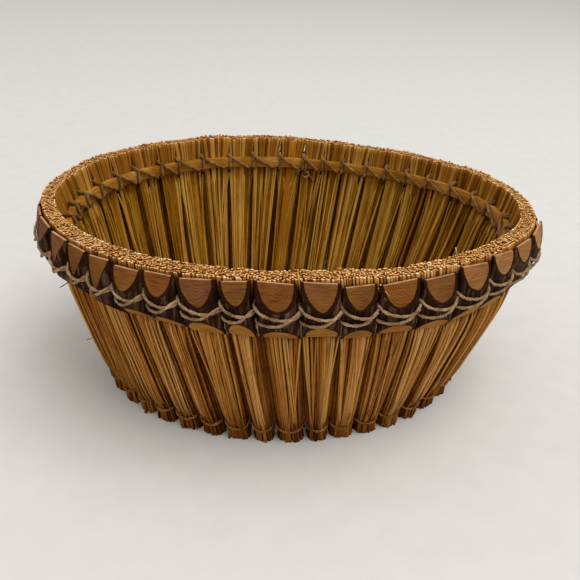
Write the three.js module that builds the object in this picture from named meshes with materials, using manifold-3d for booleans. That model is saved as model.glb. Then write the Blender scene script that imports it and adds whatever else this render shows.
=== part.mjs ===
// Oval basket whose wall is a ring of stalk bundles, lashed to a cane hoop under the rim
// and to a second hoop at the foot. Millimetres, +Z up, long axis along X, front at -Y.
import * as THREE from 'three';
import Module from 'manifold-3d';

const wasm = await Module();
wasm.setup();

// Overall oval, measured over the outer faces of the bundles
const RIM_LENGTH = 290;
const RIM_WIDTH = 224;
const FOOT_LENGTH = 236;
const FOOT_WIDTH = 173;
const HEIGHT = 122;
const FOOT_TWIST = 0.68; // foot turned against the rim, in bundle pitches
const FRONT_GAP_SHIFT = -0.22; // first gap beside the middle of the front, in bundle pitches

// The wall swells out between foot and rim, most at the right end
const SWELL = 3.5;
const SWELL_TO_RIGHT = 2.3;
const KNEE_SWELL = 0.18; // share of the swell at the knee, at the notches and between
const NOTCH_SWELL = 0.9;
const CENTRE_SHIFT = -1.15; // along X, brings the swollen wall back over the origin
const WALL_SWELL = [
  { height: 0.37, share: 0.5 }, // height as a share of the whole height
  { height: 0.53, share: 0.84 },
  { height: 0.68, share: 1 },
];

// Bundles are uneven: their gaps stray from an even pace in waves round the basket, with sizes
// and peaks in bundle pitches
const RIM_STRAY = 0.32;
const RIM_WAVES = [
  { turns: 1, size: 0.31, peak: 17.1 },
  { turns: 2, size: 0.18, peak: 10.7 },
  { turns: 4, size: 0.11, peak: 5.1 },
];
const FOOT_STRAY = 0.13;
const FOOT_WAVES = [
  { turns: 1, size: 0.21, peak: 12.5 },
  { turns: 2, size: 0.06, peak: 8.3 },
];

// Bundles: the stalks of one run are pressed together along the rim
const RUN_COUNT = 7;
const BUNDLES_PER_RUN = 6;
const BUNDLE_COUNT = RUN_COUNT * BUNDLES_PER_RUN;
const RIM_THICKNESS = 11;
const WALL_THICKNESS = 11.8;
const WALL_GAP = 1;
const KNEE_THICKNESS = 13;
const TIE_THICKNESS = 11.5;
const STUB_THICKNESS = 15;
const PRESSED_OVERLAP = 0.5; // stalks shared by neighbours in one run
const PRESSED_HEIGHT = 4;
const STUB_GAP = 1.2;
const KNEE_HEIGHT = 25;
const KNEE_GAP = 1.6;
const FLAT_SHARE = 0.6; // flat part of a bundle's outer and inner face
const TIE_SHOULDER = 0.3; // depth of the rounded shoulder, as a share of the thickness
const KNEE_SHOULDER = 0.25;
const WALL_SHOULDER = 0.18;
const RIM_SHOULDER = 0.06;

// Cords
const RIM_CORD = 1.9;
const RIM_CORD_SIDES = 5;
const FOOT_CORD = 1.8;
const FOOT_CORD_SIDES = 4;
const CLEARANCE = 0.3; // between neighbouring pieces
const CORD_CLEARANCE = 0.35; // between a cord and what it goes round
const STRAND_GAP = 0.45; // between two strands that cross
const CORD_TAIL = 8;

// Rim lashing over a slip, as shares of a strand's own spread
const SHOULDER_SWING = 0.35; // how far a strand swings out round a slip's shoulder
const LEFT_SHOULDER_SHARE = 0.62;
const CROWN_SHARE = 0.2;
const RIGHT_SHOULDER_SHARE = 0.86;
const RIGHT_SPLIT = 0.62; // strands' height from the waist at a slip's right side, in cord steps
const CROSSING_LIFT = 1.06; // upper strand at the crossing, in cord steps
const SLANTED_PASS = 1.28; // height step of slanting passes, in cord steps
const SLANT_SPREAD = 1.15; // slanting strand beside the upright one, in cord steps
const KNOT_GAP = 20; // the rim lashing starts and ends at this gap, at the back

// Foot lashing
const FOOT_MOUTH = 0.8; // how far a strand dips in at a gap, in cord diameters
const FOOT_CORNER = 0.34; // from a bundle's middle to where a strand bends round it, in pitches

// Inner hoop under the rim
const HOOP_DROP = 16.2; // rim to hoop centre
const HOOP_HEIGHT = 6.8;
const HOOP_THICKNESS = 3;

// Wood slips: half-round pieces of twig, both ends cut on the slant
const SLIP_DROP = 0.5; // rim to slip top
const SLIP_LENGTH = 33;
const SLIP_THICKNESS = 5.2;
const SLIP_EDGE = 1.2; // thickness along the sides and at the top edge
const SLIP_SHOULDER_SPAN = 0.6; // share of the width between the shoulders
const SLIP_SHOULDER_RISE = 0.8; // share of the thickness at the shoulders
const UPPER_BEVEL = 12.7;
const LOWER_BEVEL = 9.8;
const LEAST_BARK = 0.5; // along the crown, between the lower cut and the bend of the wall
const SLIP_SPACE_SPREAD = 1.7; // narrow slips leave this much more than a cord's room between them
const WIDTH_WAVES = 16; // narrow and wide slips alternate this often round the rim

// Floor
const TIE_HEIGHT = 9.5;
const FLOOR_HOOP_HEIGHT = 6;
const FLOOR_HOOP_THICKNESS = 3;
const STAY_COUNT = 3;
const STAY_WIDTH = 5;
const STAY_THICKNESS = 2.5;
const STAY_STEP_COUNT = 4; // bundles from one stay to the next
const MAT_THICKNESS = 2;

// Colours as seen on the object
const STRAW = new THREE.MeshStandardMaterial({ color: 0x9a6c34, roughness: 0.75, metalness: 0 });
const BARK = new THREE.MeshStandardMaterial({ color: 0x4a2f22, roughness: 0.8, metalness: 0 });
const CANE = new THREE.MeshStandardMaterial({ color: 0xa5752f, roughness: 0.6, metalness: 0 });
const TWINE = new THREE.MeshStandardMaterial({ color: 0x96835a, roughness: 0.9, metalness: 0 });
const DARK_CORD = new THREE.MeshStandardMaterial({ color: 0x5e3a26, roughness: 0.85, metalness: 0 });
const MATTING = new THREE.MeshStandardMaterial({ color: 0x8d6630, roughness: 0.8, metalness: 0 });

// Heights worked out from the sizes above
const hoopZ = HEIGHT - HOOP_DROP;
const slipTopZ = HEIGHT - SLIP_DROP;
const waistZ = slipTopZ - (UPPER_BEVEL + SLIP_LENGTH - LOWER_BEVEL) / 2;
const cordGap = RIM_CORD + 2 * CORD_CLEARANCE;
const cordStep = RIM_CORD + STRAND_GAP;
const passStep = cordStep * SLANTED_PASS;
// The gap for the rim lashing reaches from below the hoop to above it
const notchBottomZ = hoopZ - HOOP_HEIGHT / 2 - cordGap - passStep;
const notchTopZ = hoopZ + HOOP_HEIGHT / 2 + cordGap + passStep;
const tieGap = FOOT_CORD + 4 * CORD_CLEARANCE; // cords cross here
const tieInset = FOOT_CORD + CORD_CLEARANCE;

// The rim and foot ovals, walked at an even pace from the middle of the front
const rimOval = evenOval(RIM_LENGTH / 2, RIM_WIDTH / 2);
const footOval = evenOval(FOOT_LENGTH / 2, FOOT_WIDTH / 2);

function evenOval(halfLength, halfWidth) {
  const curve = new THREE.EllipseCurve(0, 0, halfLength, halfWidth, -Math.PI / 2, 1.5 * Math.PI);
  curve.arcLengthDivisions = 1440;
  return curve;
}

function ovalAt(curve, pitches) {
  const share = THREE.MathUtils.euclideanModulo(pitches / BUNDLE_COUNT, 1);
  const point = curve.getPointAt(share);
  const normal = new THREE.Vector2(point.x / curve.xRadius ** 2, point.y / curve.yRadius ** 2);
  return { point, normal: normal.normalize() };
}

// Measure at a height, from the levels below and above it
function measureAt(levels, z, measure) {
  const upper = levels.findIndex((level, index) => index > 0 && z <= level.z);
  const low = levels[upper - 1];
  const high = levels[upper];
  return THREE.MathUtils.mapLinear(z, low.z, high.z, low[measure], high[measure]);
}

const swellLevels = [
  { z: 0, share: 0 },
  { z: KNEE_HEIGHT, share: KNEE_SWELL },
  ...WALL_SWELL.map(({ height, share }) => ({ z: height * HEIGHT, share })),
  { z: notchBottomZ, share: NOTCH_SWELL },
  { z: HEIGHT, share: 0 },
];

function strayed(pitches, mean, waves) {
  return waves.reduce((sum, { turns, size, peak }) => {
    const angle = (turns * (pitches - peak) * Math.PI * 2) / BUNDLE_COUNT;
    return sum + size * Math.cos(angle);
  }, pitches + mean);
}

// Frame on the wall's outer surface at a place counted in bundle pitches and a height
function wallFrame(pitches, z) {
  const rimPlace = strayed(pitches, RIM_STRAY, RIM_WAVES) + FRONT_GAP_SHIFT;
  const footPlace = strayed(pitches, FOOT_STRAY, FOOT_WAVES) + FRONT_GAP_SHIFT + FOOT_TWIST;
  const top = ovalAt(rimOval, rimPlace);
  const foot = ovalAt(footOval, footPlace);
  const height = z / HEIGHT;
  const point = foot.point.clone().lerp(top.point, height);
  const normal = foot.normal.clone().lerp(top.normal, height).normalize();
  const swell = SWELL + (SWELL_TO_RIGHT * point.x) / point.length();
  point.addScaledVector(normal, swell * measureAt(swellLevels, z, 'share'));
  point.x += CENTRE_SHIFT;
  return { point, normal, along: new THREE.Vector2(-normal.y, normal.x) };
}

// Point reached from the wall's outer surface by going inward and along the wall
function wallPoint(pitches, z, inward, along = 0) {
  const frame = wallFrame(pitches, z);
  const flat = frame.point.clone().addScaledVector(frame.normal, -inward);
  flat.addScaledVector(frame.along, along);
  return new THREE.Vector3(flat.x, flat.y, z);
}

// Bundle shape at the heights where it changes, from the cut stubs up to the rim, where
// neighbours are pressed together and no gap is left
const bundleLevels = [
  { z: 0, thickness: STUB_THICKNESS, gap: STUB_GAP, shoulder: WALL_SHOULDER },
  { z: TIE_HEIGHT, inset: tieInset, thickness: TIE_THICKNESS, gap: tieGap, shoulder: TIE_SHOULDER },
  { z: KNEE_HEIGHT, thickness: KNEE_THICKNESS, gap: KNEE_GAP, shoulder: KNEE_SHOULDER },
  ...WALL_SWELL.map(({ height }) => (
    { z: height * HEIGHT, thickness: WALL_THICKNESS, gap: WALL_GAP, shoulder: WALL_SHOULDER }
  )),
  { z: notchBottomZ, thickness: WALL_THICKNESS, gap: cordGap, shoulder: WALL_SHOULDER },
  { z: notchTopZ, thickness: WALL_THICKNESS, gap: cordGap, shoulder: WALL_SHOULDER },
  { z: HEIGHT - PRESSED_HEIGHT, thickness: RIM_THICKNESS, shoulder: RIM_SHOULDER },
  { z: HEIGHT, thickness: RIM_THICKNESS, shoulder: RIM_SHOULDER },
].map((level) => ({ inset: 0, ...level }));

function innerFace(z) {
  return measureAt(bundleLevels, z, 'inset') + measureAt(bundleLevels, z, 'thickness');
}

// Closed solid through equal rings of points, capped at both ends or closed on itself
function skin(rings, closed = false) {
  const sides = rings[0].length;
  const positions = rings.flat().flatMap((point) => [point.x, point.y, point.z]);
  const faces = [];
  const last = closed ? rings.length : rings.length - 1;
  for (let ring = 0; ring < last; ring += 1) {
    const here = ring * sides;
    const next = ((ring + 1) % rings.length) * sides;
    for (let side = 0; side < sides; side += 1) {
      const beside = (side + 1) % sides;
      faces.push(here + side, here + beside, next + beside);
      faces.push(here + side, next + beside, next + side);
    }
  }
  if (!closed) {
    const top = (rings.length - 1) * sides;
    for (let side = 1; side < sides - 1; side += 1) {
      faces.push(0, side + 1, side);
      faces.push(top, top + side, top + side + 1);
    }
  }
  const geometry = new THREE.BufferGeometry();
  geometry.setAttribute('position', new THREE.Float32BufferAttribute(positions, 3));
  geometry.setIndex(faces);
  return geometry;
}

function toManifold(geometry) {
  return new wasm.Manifold(new wasm.Mesh({
    numProp: 3,
    vertProperties: new Float32Array(geometry.attributes.position.array),
    triVerts: new Uint32Array(geometry.index.array),
  }));
}

function fromManifold(solid) {
  const mesh = solid.getMesh();
  const geometry = new THREE.BufferGeometry();
  geometry.setAttribute('position', new THREE.BufferAttribute(mesh.vertProperties, 3));
  geometry.setIndex(new THREE.BufferAttribute(mesh.triVerts, 1));
  return geometry;
}

const basket = new THREE.Group();

function addPiece(name, geometry, material) {
  geometry.computeVertexNormals();
  const mesh = new THREE.Mesh(geometry, material);
  mesh.name = name;
  basket.add(mesh);
}

// One bundle: outline of eight points at each level, its sides following the gaps
function bundle(index, leftGap, rightGap) {
  const middle = index + 0.5;
  const flat = FLAT_SHARE / 2;
  const rings = bundleLevels.map((level) => {
    const shoulder = level.inset + level.thickness * level.shoulder;
    const innerShoulder = level.inset + level.thickness * (1 - level.shoulder);
    const inside = level.inset + level.thickness;
    const left = (level.gap ?? leftGap) / 2;
    const right = (level.gap ?? rightGap) / 2;
    return [
      wallPoint(index, level.z, innerShoulder, left),
      wallPoint(index, level.z, shoulder, left),
      wallPoint(middle - flat, level.z, level.inset),
      wallPoint(middle + flat, level.z, level.inset),
      wallPoint(index + 1, level.z, shoulder, -right),
      wallPoint(index + 1, level.z, innerShoulder, -right),
      wallPoint(middle + flat, level.z, inside),
      wallPoint(middle - flat, level.z, inside),
    ];
  });
  return skin(rings);
}

for (let run = 0; run < RUN_COUNT; run += 1) {
  let joined = null;
  for (let step = 0; step < BUNDLES_PER_RUN; step += 1) {
    const leftGap = step === 0 ? CLEARANCE : -PRESSED_OVERLAP;
    const rightGap = step === BUNDLES_PER_RUN - 1 ? CLEARANCE : -PRESSED_OVERLAP;
    const solid = toManifold(bundle(run * BUNDLES_PER_RUN + step, leftGap, rightGap));
    joined = joined ? joined.add(solid) : solid;
  }
  addPiece(`stalk_bundles_${run + 1}`, fromManifold(joined), STRAW);
}

// One slip: half-round outline, its ends following the slanting cuts
function slipWidth(index) {
  const left = wallPoint(index, waistZ, 0);
  const right = wallPoint(index + 1, waistZ, 0);
  const wave = 0.5 + 0.5 * Math.sin((index * WIDTH_WAVES * Math.PI * 2) / BUNDLE_COUNT);
  return left.distanceTo(right) - cordGap - SLIP_SPACE_SPREAD * wave;
}

function slipOutline(index) {
  const half = slipWidth(index) / 2;
  const shoulder = half * SLIP_SHOULDER_SPAN;
  const rise = SLIP_THICKNESS * SLIP_SHOULDER_RISE;
  return [
    { along: -half, out: 0 },
    { along: -half, out: SLIP_EDGE },
    { along: -shoulder, out: rise },
    { along: 0, out: SLIP_THICKNESS },
    { along: shoulder, out: rise },
    { along: half, out: SLIP_EDGE },
    { along: half, out: 0 },
  ];
}

function slip(index) {
  const outline = slipOutline(index);
  const beyondEdge = (out) => Math.max(0, out - SLIP_EDGE) / (SLIP_THICKNESS - SLIP_EDGE);
  const ring = (height) => outline.map(({ along, out }) => (
    wallPoint(index + 0.5, height(out), -CLEARANCE - out, along)
  ));
  const lowCut = (out) => slipTopZ - SLIP_LENGTH + LOWER_BEVEL * (out / SLIP_THICKNESS);
  const bottom = ring(lowCut);
  const middle = ring((out) => Math.max(notchBottomZ, lowCut(out) + LEAST_BARK));
  const top = ring((out) => slipTopZ - UPPER_BEVEL * beyondEdge(out));
  return skin([bottom, middle, top]);
}

for (let index = 0; index < BUNDLE_COUNT; index += 1) {
  addPiece(`wood_slip_${String(index + 1).padStart(2, '0')}`, slip(index), BARK);
}

// A flat strip bent into an oval against the bundles' inner faces
function hoop(centreZ, height, thickness) {
  const lowZ = centreZ - height / 2;
  const highZ = centreZ + height / 2;
  const face = (z) => innerFace(z) + CLEARANCE;
  const rings = [];
  for (let place = 0; place < BUNDLE_COUNT; place += 1) {
    rings.push([
      wallPoint(place, lowZ, face(lowZ)),
      wallPoint(place, lowZ, face(lowZ) + thickness),
      wallPoint(place, highZ, face(highZ) + thickness),
      wallPoint(place, highZ, face(highZ)),
    ]);
  }
  return skin(rings, true);
}

addPiece('rim_hoop', hoop(hoopZ, HOOP_HEIGHT, HOOP_THICKNESS), CANE);
addPiece('floor_hoop', hoop(TIE_HEIGHT, FLOOR_HOOP_HEIGHT, FLOOR_HOOP_THICKNESS), CANE);

// A cord of even section along straight stretches, mitred where it turns
function cord(points, diameter, sides) {
  const directions = points.slice(1).map((point, index) => (
    point.clone().sub(points[index]).normalize()
  ));
  const up = Math.abs(directions[0].z) < 0.9 ? new THREE.Vector3(0, 0, 1) : new THREE.Vector3(1, 0, 0);
  const across = new THREE.Vector3().crossVectors(directions[0], up).normalize();
  const over = new THREE.Vector3().crossVectors(directions[0], across);
  let ring = [];
  for (let side = 0; side < sides; side += 1) {
    const angle = (side / sides) * Math.PI * 2;
    const point = points[0].clone().addScaledVector(across, (Math.cos(angle) * diameter) / 2);
    ring.push(point.addScaledVector(over, (Math.sin(angle) * diameter) / 2));
  }
  const rings = [ring];
  for (let index = 1; index < points.length; index += 1) {
    const before = directions[index - 1];
    const after = directions[index] ?? before;
    const mitre = before.clone().add(after).normalize();
    ring = ring.map((point) => {
      const reach = points[index].clone().sub(point).dot(mitre) / before.dot(mitre);
      return point.clone().addScaledVector(before, reach);
    });
    rings.push(ring);
  }
  return skin(rings);
}

// Least gap of a cord to itself, measured on points along it
function leastGap(points, diameter) {
  const spacing = diameter / 2;
  const samples = [];
  let travelled = 0;
  points.slice(1).forEach((point, index) => {
    const length = point.distanceTo(points[index]);
    const count = Math.ceil(length / spacing);
    for (let step = 0; step < count; step += 1) {
      const share = step / count;
      const spot = points[index].clone().lerp(point, share);
      samples.push({ spot, travelled: travelled + length * share });
    }
    travelled += length;
  });
  let least = Infinity;
  for (let first = 0; first < samples.length; first += 1) {
    for (let second = first + 1; second < samples.length; second += 1) {
      if (samples[second].travelled - samples[first].travelled < 3 * diameter) continue;
      least = Math.min(least, samples[first].spot.distanceToSquared(samples[second].spot));
    }
  }
  return Math.sqrt(least) - diameter;
}

// Rim lashing, worked from right to left, one cell per bundle: outside up to the left, in over
// the hoop and down it, outside up to the right, in over the hoop, slanting down it to the
// left gap, and out below the hoop to the next cell
const hoopReach = HOOP_HEIGHT / 2 + CORD_CLEARANCE + RIM_CORD / 2;
const hoopInner = CLEARANCE + HOOP_THICKNESS + CORD_CLEARANCE + RIM_CORD / 2;
const strandOut = CLEARANCE + CORD_CLEARANCE + RIM_CORD / 2;
const mouthOut = CLEARANCE + SLIP_EDGE + RIM_CORD / 2; // where a strand turns in between two slips
const slantSpread = cordStep * SLANT_SPREAD;
const rightSplit = cordStep * RIGHT_SPLIT;
const leftSplit = rightSplit + passStep;

// One strand across a slip: side 1 rises to the right and side -1 falls to the right
function outsideStrand(index, side, lift) {
  const [, , leftShoulder, crown, rightShoulder] = slipOutline(index);
  const sideways = (CORD_CLEARANCE + RIM_CORD / 2) * SHOULDER_SWING;
  const over = (point, height, extra) => wallPoint(
    index + 0.5,
    waistZ + side * height,
    -(strandOut + point.out + extra),
    point.along + Math.sign(point.along) * sideways,
  );
  return [
    wallPoint(index, waistZ - side * leftSplit, -mouthOut),
    over(leftShoulder, -leftSplit * LEFT_SHOULDER_SHARE, 0),
    over(crown, -leftSplit * CROWN_SHARE, lift),
    over(rightShoulder, rightSplit * RIGHT_SHOULDER_SHARE, lift),
    wallPoint(index + 1, waistZ + side * rightSplit, -mouthOut),
  ];
}

function rimLashingRoute(startGap) {
  const insideAt = (z) => innerFace(z) + hoopInner;
  const highZ = hoopZ + hoopReach;
  const lowZ = hoopZ - hoopReach;
  const points = [];
  const tailZ = lowZ - passStep - CORD_TAIL;
  const tailIn = insideAt(lowZ);
  const passOut = (gap) => wallPoint(gap, lowZ, innerFace(lowZ) + CLEARANCE);
  points.push(wallPoint(startGap, tailZ, tailIn, -slantSpread));
  points.push(wallPoint(startGap, lowZ, tailIn, -slantSpread));
  for (let step = 1; step <= BUNDLE_COUNT; step += 1) {
    const cell = startGap - step;
    points.push(passOut(cell + 1));
    points.push(...outsideStrand(cell, -1, cordStep * CROSSING_LIFT).reverse());
    points.push(wallPoint(cell, highZ + passStep, innerFace(highZ) - RIM_CORD / 2));
    points.push(wallPoint(cell, highZ + passStep, insideAt(highZ)));
    points.push(wallPoint(cell, lowZ - passStep, insideAt(lowZ)));
    points.push(...outsideStrand(cell, 1, 0));
    points.push(wallPoint(cell + 1, highZ, innerFace(highZ) - RIM_CORD / 2));
    points.push(wallPoint(cell + 1, highZ, insideAt(highZ), -slantSpread));
    points.push(wallPoint(cell, lowZ, insideAt(lowZ), slantSpread));
  }
  points.push(wallPoint(startGap, tailZ, tailIn, slantSpread));
  return points;
}

const rimRoute = rimLashingRoute(KNOT_GAP);
addPiece('rim_lashing', cord(rimRoute, RIM_CORD, RIM_CORD_SIDES), TWINE);
console.log('rim lashing least gap', leastGap(rimRoute, RIM_CORD).toFixed(2));

// Foot lashing: one cord folded in half, its two halves weaving in front of and behind
// the bundles in turn, in over the floor hoop and out below it
function footStrand(firstOutside) {
  const crossing = (FOOT_CORD + STRAND_GAP + CORD_CLEARANCE) / 2;
  const hoopPass = FLOOR_HOOP_HEIGHT / 2 + CORD_CLEARANCE + FOOT_CORD / 2;
  const mouth = tieInset + FOOT_CORD * FOOT_MOUTH;
  const front = tieInset - CORD_CLEARANCE - FOOT_CORD / 2;
  const insideAt = (z) => (
    innerFace(z) + CLEARANCE + FLOOR_HOOP_THICKNESS + CORD_CLEARANCE + FOOT_CORD / 2
  );
  const frontZ = (share) => TIE_HEIGHT + THREE.MathUtils.lerp(-crossing, crossing, share);
  const overZ = TIE_HEIGHT + hoopPass;
  const underZ = TIE_HEIGHT - hoopPass;
  const points = [];
  for (let cell = 0; cell < BUNDLE_COUNT; cell += 1) {
    const outside = (cell % 2 === 0) === firstOutside;
    if (outside) {
      points.push(wallPoint(cell, frontZ(0), mouth));
      points.push(wallPoint(cell + 0.5 - FOOT_CORNER, frontZ(0.5 - FOOT_CORNER), front));
      points.push(wallPoint(cell + 0.5 + FOOT_CORNER, frontZ(0.5 + FOOT_CORNER), front));
      points.push(wallPoint(cell + 1, frontZ(1), mouth));
    } else {
      points.push(wallPoint(cell, overZ, innerFace(overZ) - FOOT_CORD / 2));
      points.push(wallPoint(cell, overZ, insideAt(overZ)));
      points.push(wallPoint(cell + 1, underZ, insideAt(underZ)));
      points.push(wallPoint(cell + 1, underZ, innerFace(underZ) - FOOT_CORD / 2));
    }
  }
  return points;
}

const footRoute = [...footStrand(true).reverse(), ...footStrand(false)];
addPiece('foot_lashing', cord(footRoute, FOOT_CORD, FOOT_CORD_SIDES), DARK_CORD);
console.log('foot lashing least gap', leastGap(footRoute, FOOT_CORD).toFixed(2));

// Floor: flat stays across the hoop and an oval mat on them
const stayZ = TIE_HEIGHT + FLOOR_HOOP_HEIGHT / 2 + CLEARANCE;
const matZ = stayZ + STAY_THICKNESS + CLEARANCE;

function floorOutline(z, clearance) {
  const outline = [];
  for (let place = 0; place < BUNDLE_COUNT; place += 1) {
    const point = wallPoint(place, z, innerFace(z) + clearance);
    outline.push(new THREE.Vector2(point.x, point.y));
  }
  return outline;
}

function plate(outline, z, thickness) {
  const geometry = new THREE.ExtrudeGeometry(new THREE.Shape(outline), {
    depth: thickness,
    bevelEnabled: false,
  });
  geometry.translate(0, 0, z);
  return geometry;
}

// Where a line from a point inside an outline leaves it, ahead and behind
function reachInside(outline, start, direction) {
  const reach = { ahead: Infinity, behind: -Infinity };
  outline.forEach((point, index) => {
    const edge = outline[(index + 1) % outline.length].clone().sub(point);
    const toPoint = point.clone().sub(start);
    const slope = direction.cross(edge);
    if (slope === 0) return;
    const share = toPoint.cross(direction) / slope;
    if (share < 0 || share > 1) return;
    const distance = toPoint.cross(edge) / slope;
    if (distance > 0) reach.ahead = Math.min(reach.ahead, distance);
    else reach.behind = Math.max(reach.behind, distance);
  });
  return reach;
}

// A stay lies on the hoop at the middle of one front and one back bundle
function stayOutline(frontBundle, backBundle) {
  const inward = innerFace(stayZ) + FLOOR_HOOP_THICKNESS;
  const front = wallPoint(frontBundle + 0.5, stayZ, inward);
  const back = wallPoint(backBundle + 0.5, stayZ, inward);
  const direction = new THREE.Vector2(back.x - front.x, back.y - front.y).normalize();
  const across = new THREE.Vector2(direction.y, -direction.x);
  const centre = new THREE.Vector2(front.x + back.x, front.y + back.y).divideScalar(2);
  const outline = floorOutline(stayZ, CLEARANCE * 2);
  const sides = [-0.5, 0.5].map((share) => centre.clone().addScaledVector(across, share * STAY_WIDTH));
  const reaches = sides.map((side) => reachInside(outline, side, direction));
  const ahead = Math.min(...reaches.map((reach) => reach.ahead));
  const behind = Math.max(...reaches.map((reach) => reach.behind));
  return [
    sides[0].clone().addScaledVector(direction, behind),
    sides[1].clone().addScaledVector(direction, behind),
    sides[1].clone().addScaledVector(direction, ahead),
    sides[0].clone().addScaledVector(direction, ahead),
  ];
}

for (let index = 0; index < STAY_COUNT; index += 1) {
  const step = (index - (STAY_COUNT - 1) / 2) * STAY_STEP_COUNT;
  const outline = stayOutline(step - 1, Math.floor(BUNDLE_COUNT / 2) - 1 - step);
  addPiece(`floor_stay_${index + 1}`, plate(outline, stayZ, STAY_THICKNESS), CANE);
}
addPiece('floor_mat', plate(floorOutline(matZ, CLEARANCE), matZ, MAT_THICKNESS), MATTING);

export default basket;
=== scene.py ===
# Oval basket: a wall of stalk bundles, faced at the rim with half-round wood slips, lashed with
# twine to a split cane hoop inside, and tied with a dark cord to a second hoop at the foot.
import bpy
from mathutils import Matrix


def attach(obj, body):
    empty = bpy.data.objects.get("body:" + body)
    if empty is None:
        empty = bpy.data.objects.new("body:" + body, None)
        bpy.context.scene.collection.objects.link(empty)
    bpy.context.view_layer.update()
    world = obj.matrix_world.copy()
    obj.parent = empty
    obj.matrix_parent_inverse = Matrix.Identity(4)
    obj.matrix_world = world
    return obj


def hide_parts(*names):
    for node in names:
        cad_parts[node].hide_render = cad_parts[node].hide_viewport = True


bl_info = {
    "name": "Oval Stalk Basket",
    "version": (1, 0, 0),
    "blender": (4, 5, 0),
    "location": "3D View > Sidebar > Basket",
    "description": "Builds an oval basket of lashed stalk bundles on its packed frame",
    "category": "Object",
}

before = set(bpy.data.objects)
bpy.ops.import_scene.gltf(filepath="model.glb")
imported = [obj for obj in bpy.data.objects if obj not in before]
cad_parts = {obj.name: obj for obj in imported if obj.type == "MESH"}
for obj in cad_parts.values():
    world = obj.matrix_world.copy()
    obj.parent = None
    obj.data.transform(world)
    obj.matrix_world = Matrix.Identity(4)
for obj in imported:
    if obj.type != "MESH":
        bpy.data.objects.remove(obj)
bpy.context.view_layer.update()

import math

import bmesh
import bpy
import numpy as np
from mathutils import Matrix

# Lengths below are in millimetres; meshes are made in metres
MM = 0.001
SEED = 42
BLACK, WHITE = (0, 0, 0), (1, 1, 1)

# The oval wall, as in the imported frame. Front is -Y, the long axis lies along X.
BUNDLE_COUNT = 42
BUNDLES_PER_RUN = 6
RIM_LENGTH = 290
RIM_WIDTH = 224
FOOT_LENGTH = 236
FOOT_WIDTH = 173
HEIGHT = 122
FOOT_TWIST = 0.68  # foot turned against the rim, in bundle pitches
FRONT_GAP_SHIFT = -0.22  # first gap beside the middle of the front, in bundle pitches
OVAL_STEPS = 1440

# The wall swells between foot and rim, most at the right end
BULGE = 3.5
BULGE_TO_RIGHT = 2.3
BULGE_SKEW = 1.8  # above 1 puts the widest place in the upper half
RIM_TO_RIGHT = 1.0
CENTRE_SHIFT = -1.15  # brings the swollen wall back over the origin

# The rim and its hoop rise and fall: heights over their mean at every third gap
RIM_LIFTS = (1.0, 0.2, 2.5, 0.5, -0.6, -1.4, -1.6, 0.2, 1.5, 1.4, -0.2, -0.3, 1.3, -0.7)
LIFT_STEP = 3
# The cut rim alone, over the lifts above
CUT_LIFTS = (0.0, -0.3, -1.0, -0.8, -0.8, -0.8, -0.8, -0.8, -0.8, -1.2, -1.0, -0.7, -3.2, -1.8)
CUT_LIFT_POWER = 6
CUT_WIDENING = (0.4, 0.0, 0.0, 0.0, 0.0, 0.0, 0.0, 0.0, 0.0, 0.0, 0.0, 0.0, 1.2, 2.4)  # inward
WIDENING_FROM = 104  # height
WIDENING_HEIGHT = 16

# Bundle section by height: outer face, thickness, gap to the next bundle, roundness
RIM_THICKNESS = 9.0
WALL_LEVELS = (
    (0, 0.6, 14.0, 1.6, 0.8),
    (5, 1.2, 12.6, 2.2, 0.9),
    (9.5, 2.0, 11.6, 2.9, 1.0),
    (15, 1.1, 12.3, 2.2, 1.0),
    (25, 0.0, 12.8, 1.5, 1.0),
    (60, 0.0, 12.2, 1.2, 0.8),
    (90, 0.0, 11.7, 1.1, 0.6),
    (100, 0.0, 11.4, 1.0, 0.45),
    (112, 0.0, 11.0, 0.8, 0.25),
    (118, 0.4, 10.2, 0.15, 0.05),
    (122, 1.1, RIM_THICKNESS, 0.05, 0.02),
)
END_TUCKS = ((11.0, 1.5), (31.7, 1.6))  # gap, and how far the rim's outer edge stands in there
END_TUCK_REACH = 3.6
WAIST_TUCKS = ((9.5, 3.2), (32.5, 1.0))  # the whole wall, round the height below
WAIST_TUCK_REACH = 4.5
WAIST_TUCK_Z = 90
WAIST_TUCK_HEIGHT = 18
END_TUCK_FROM = 106.0
CLOSED_GAP = 0.1  # at the middle of the wall's thickness, above the knee
KNEE_Z = 12  # where the gaps begin to close
KNEE_HEIGHT = 9
SLITS = ((20, 114.5, 1.7), (21, 114.5, 1.7), (22, 99.0, 1.3))  # gap, height and width
SLIT_REACH = 6.0
TIE_HEIGHT = 9.5
TIE_SQUEEZE = 0.12  # share by which the foot cord squeezes the stalks
TIE_REACH = 7.0
VISIBLE_RINGS = (0, 4, 8, 10.5, 15, 22, 32, 45, 58, 71, 85, 95, 105, 113, 119)
HIDDEN_RINGS = (0, 9.5, 25, 60, 96, 114)

# Camera of the photograph, fitted to the rim, hoop and foot ovals
PHOTO_SIZE = 580
CAMERA_PLACE = (-34.22, -345.85, 255.48)
CAMERA_YAW = 0.1022
CAMERA_PITCH = 0.5292
CAMERA_ROLL = 0.0560
CAMERA_FOCUS = 614.25  # in the photograph's pixels
SENSOR = 36

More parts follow.
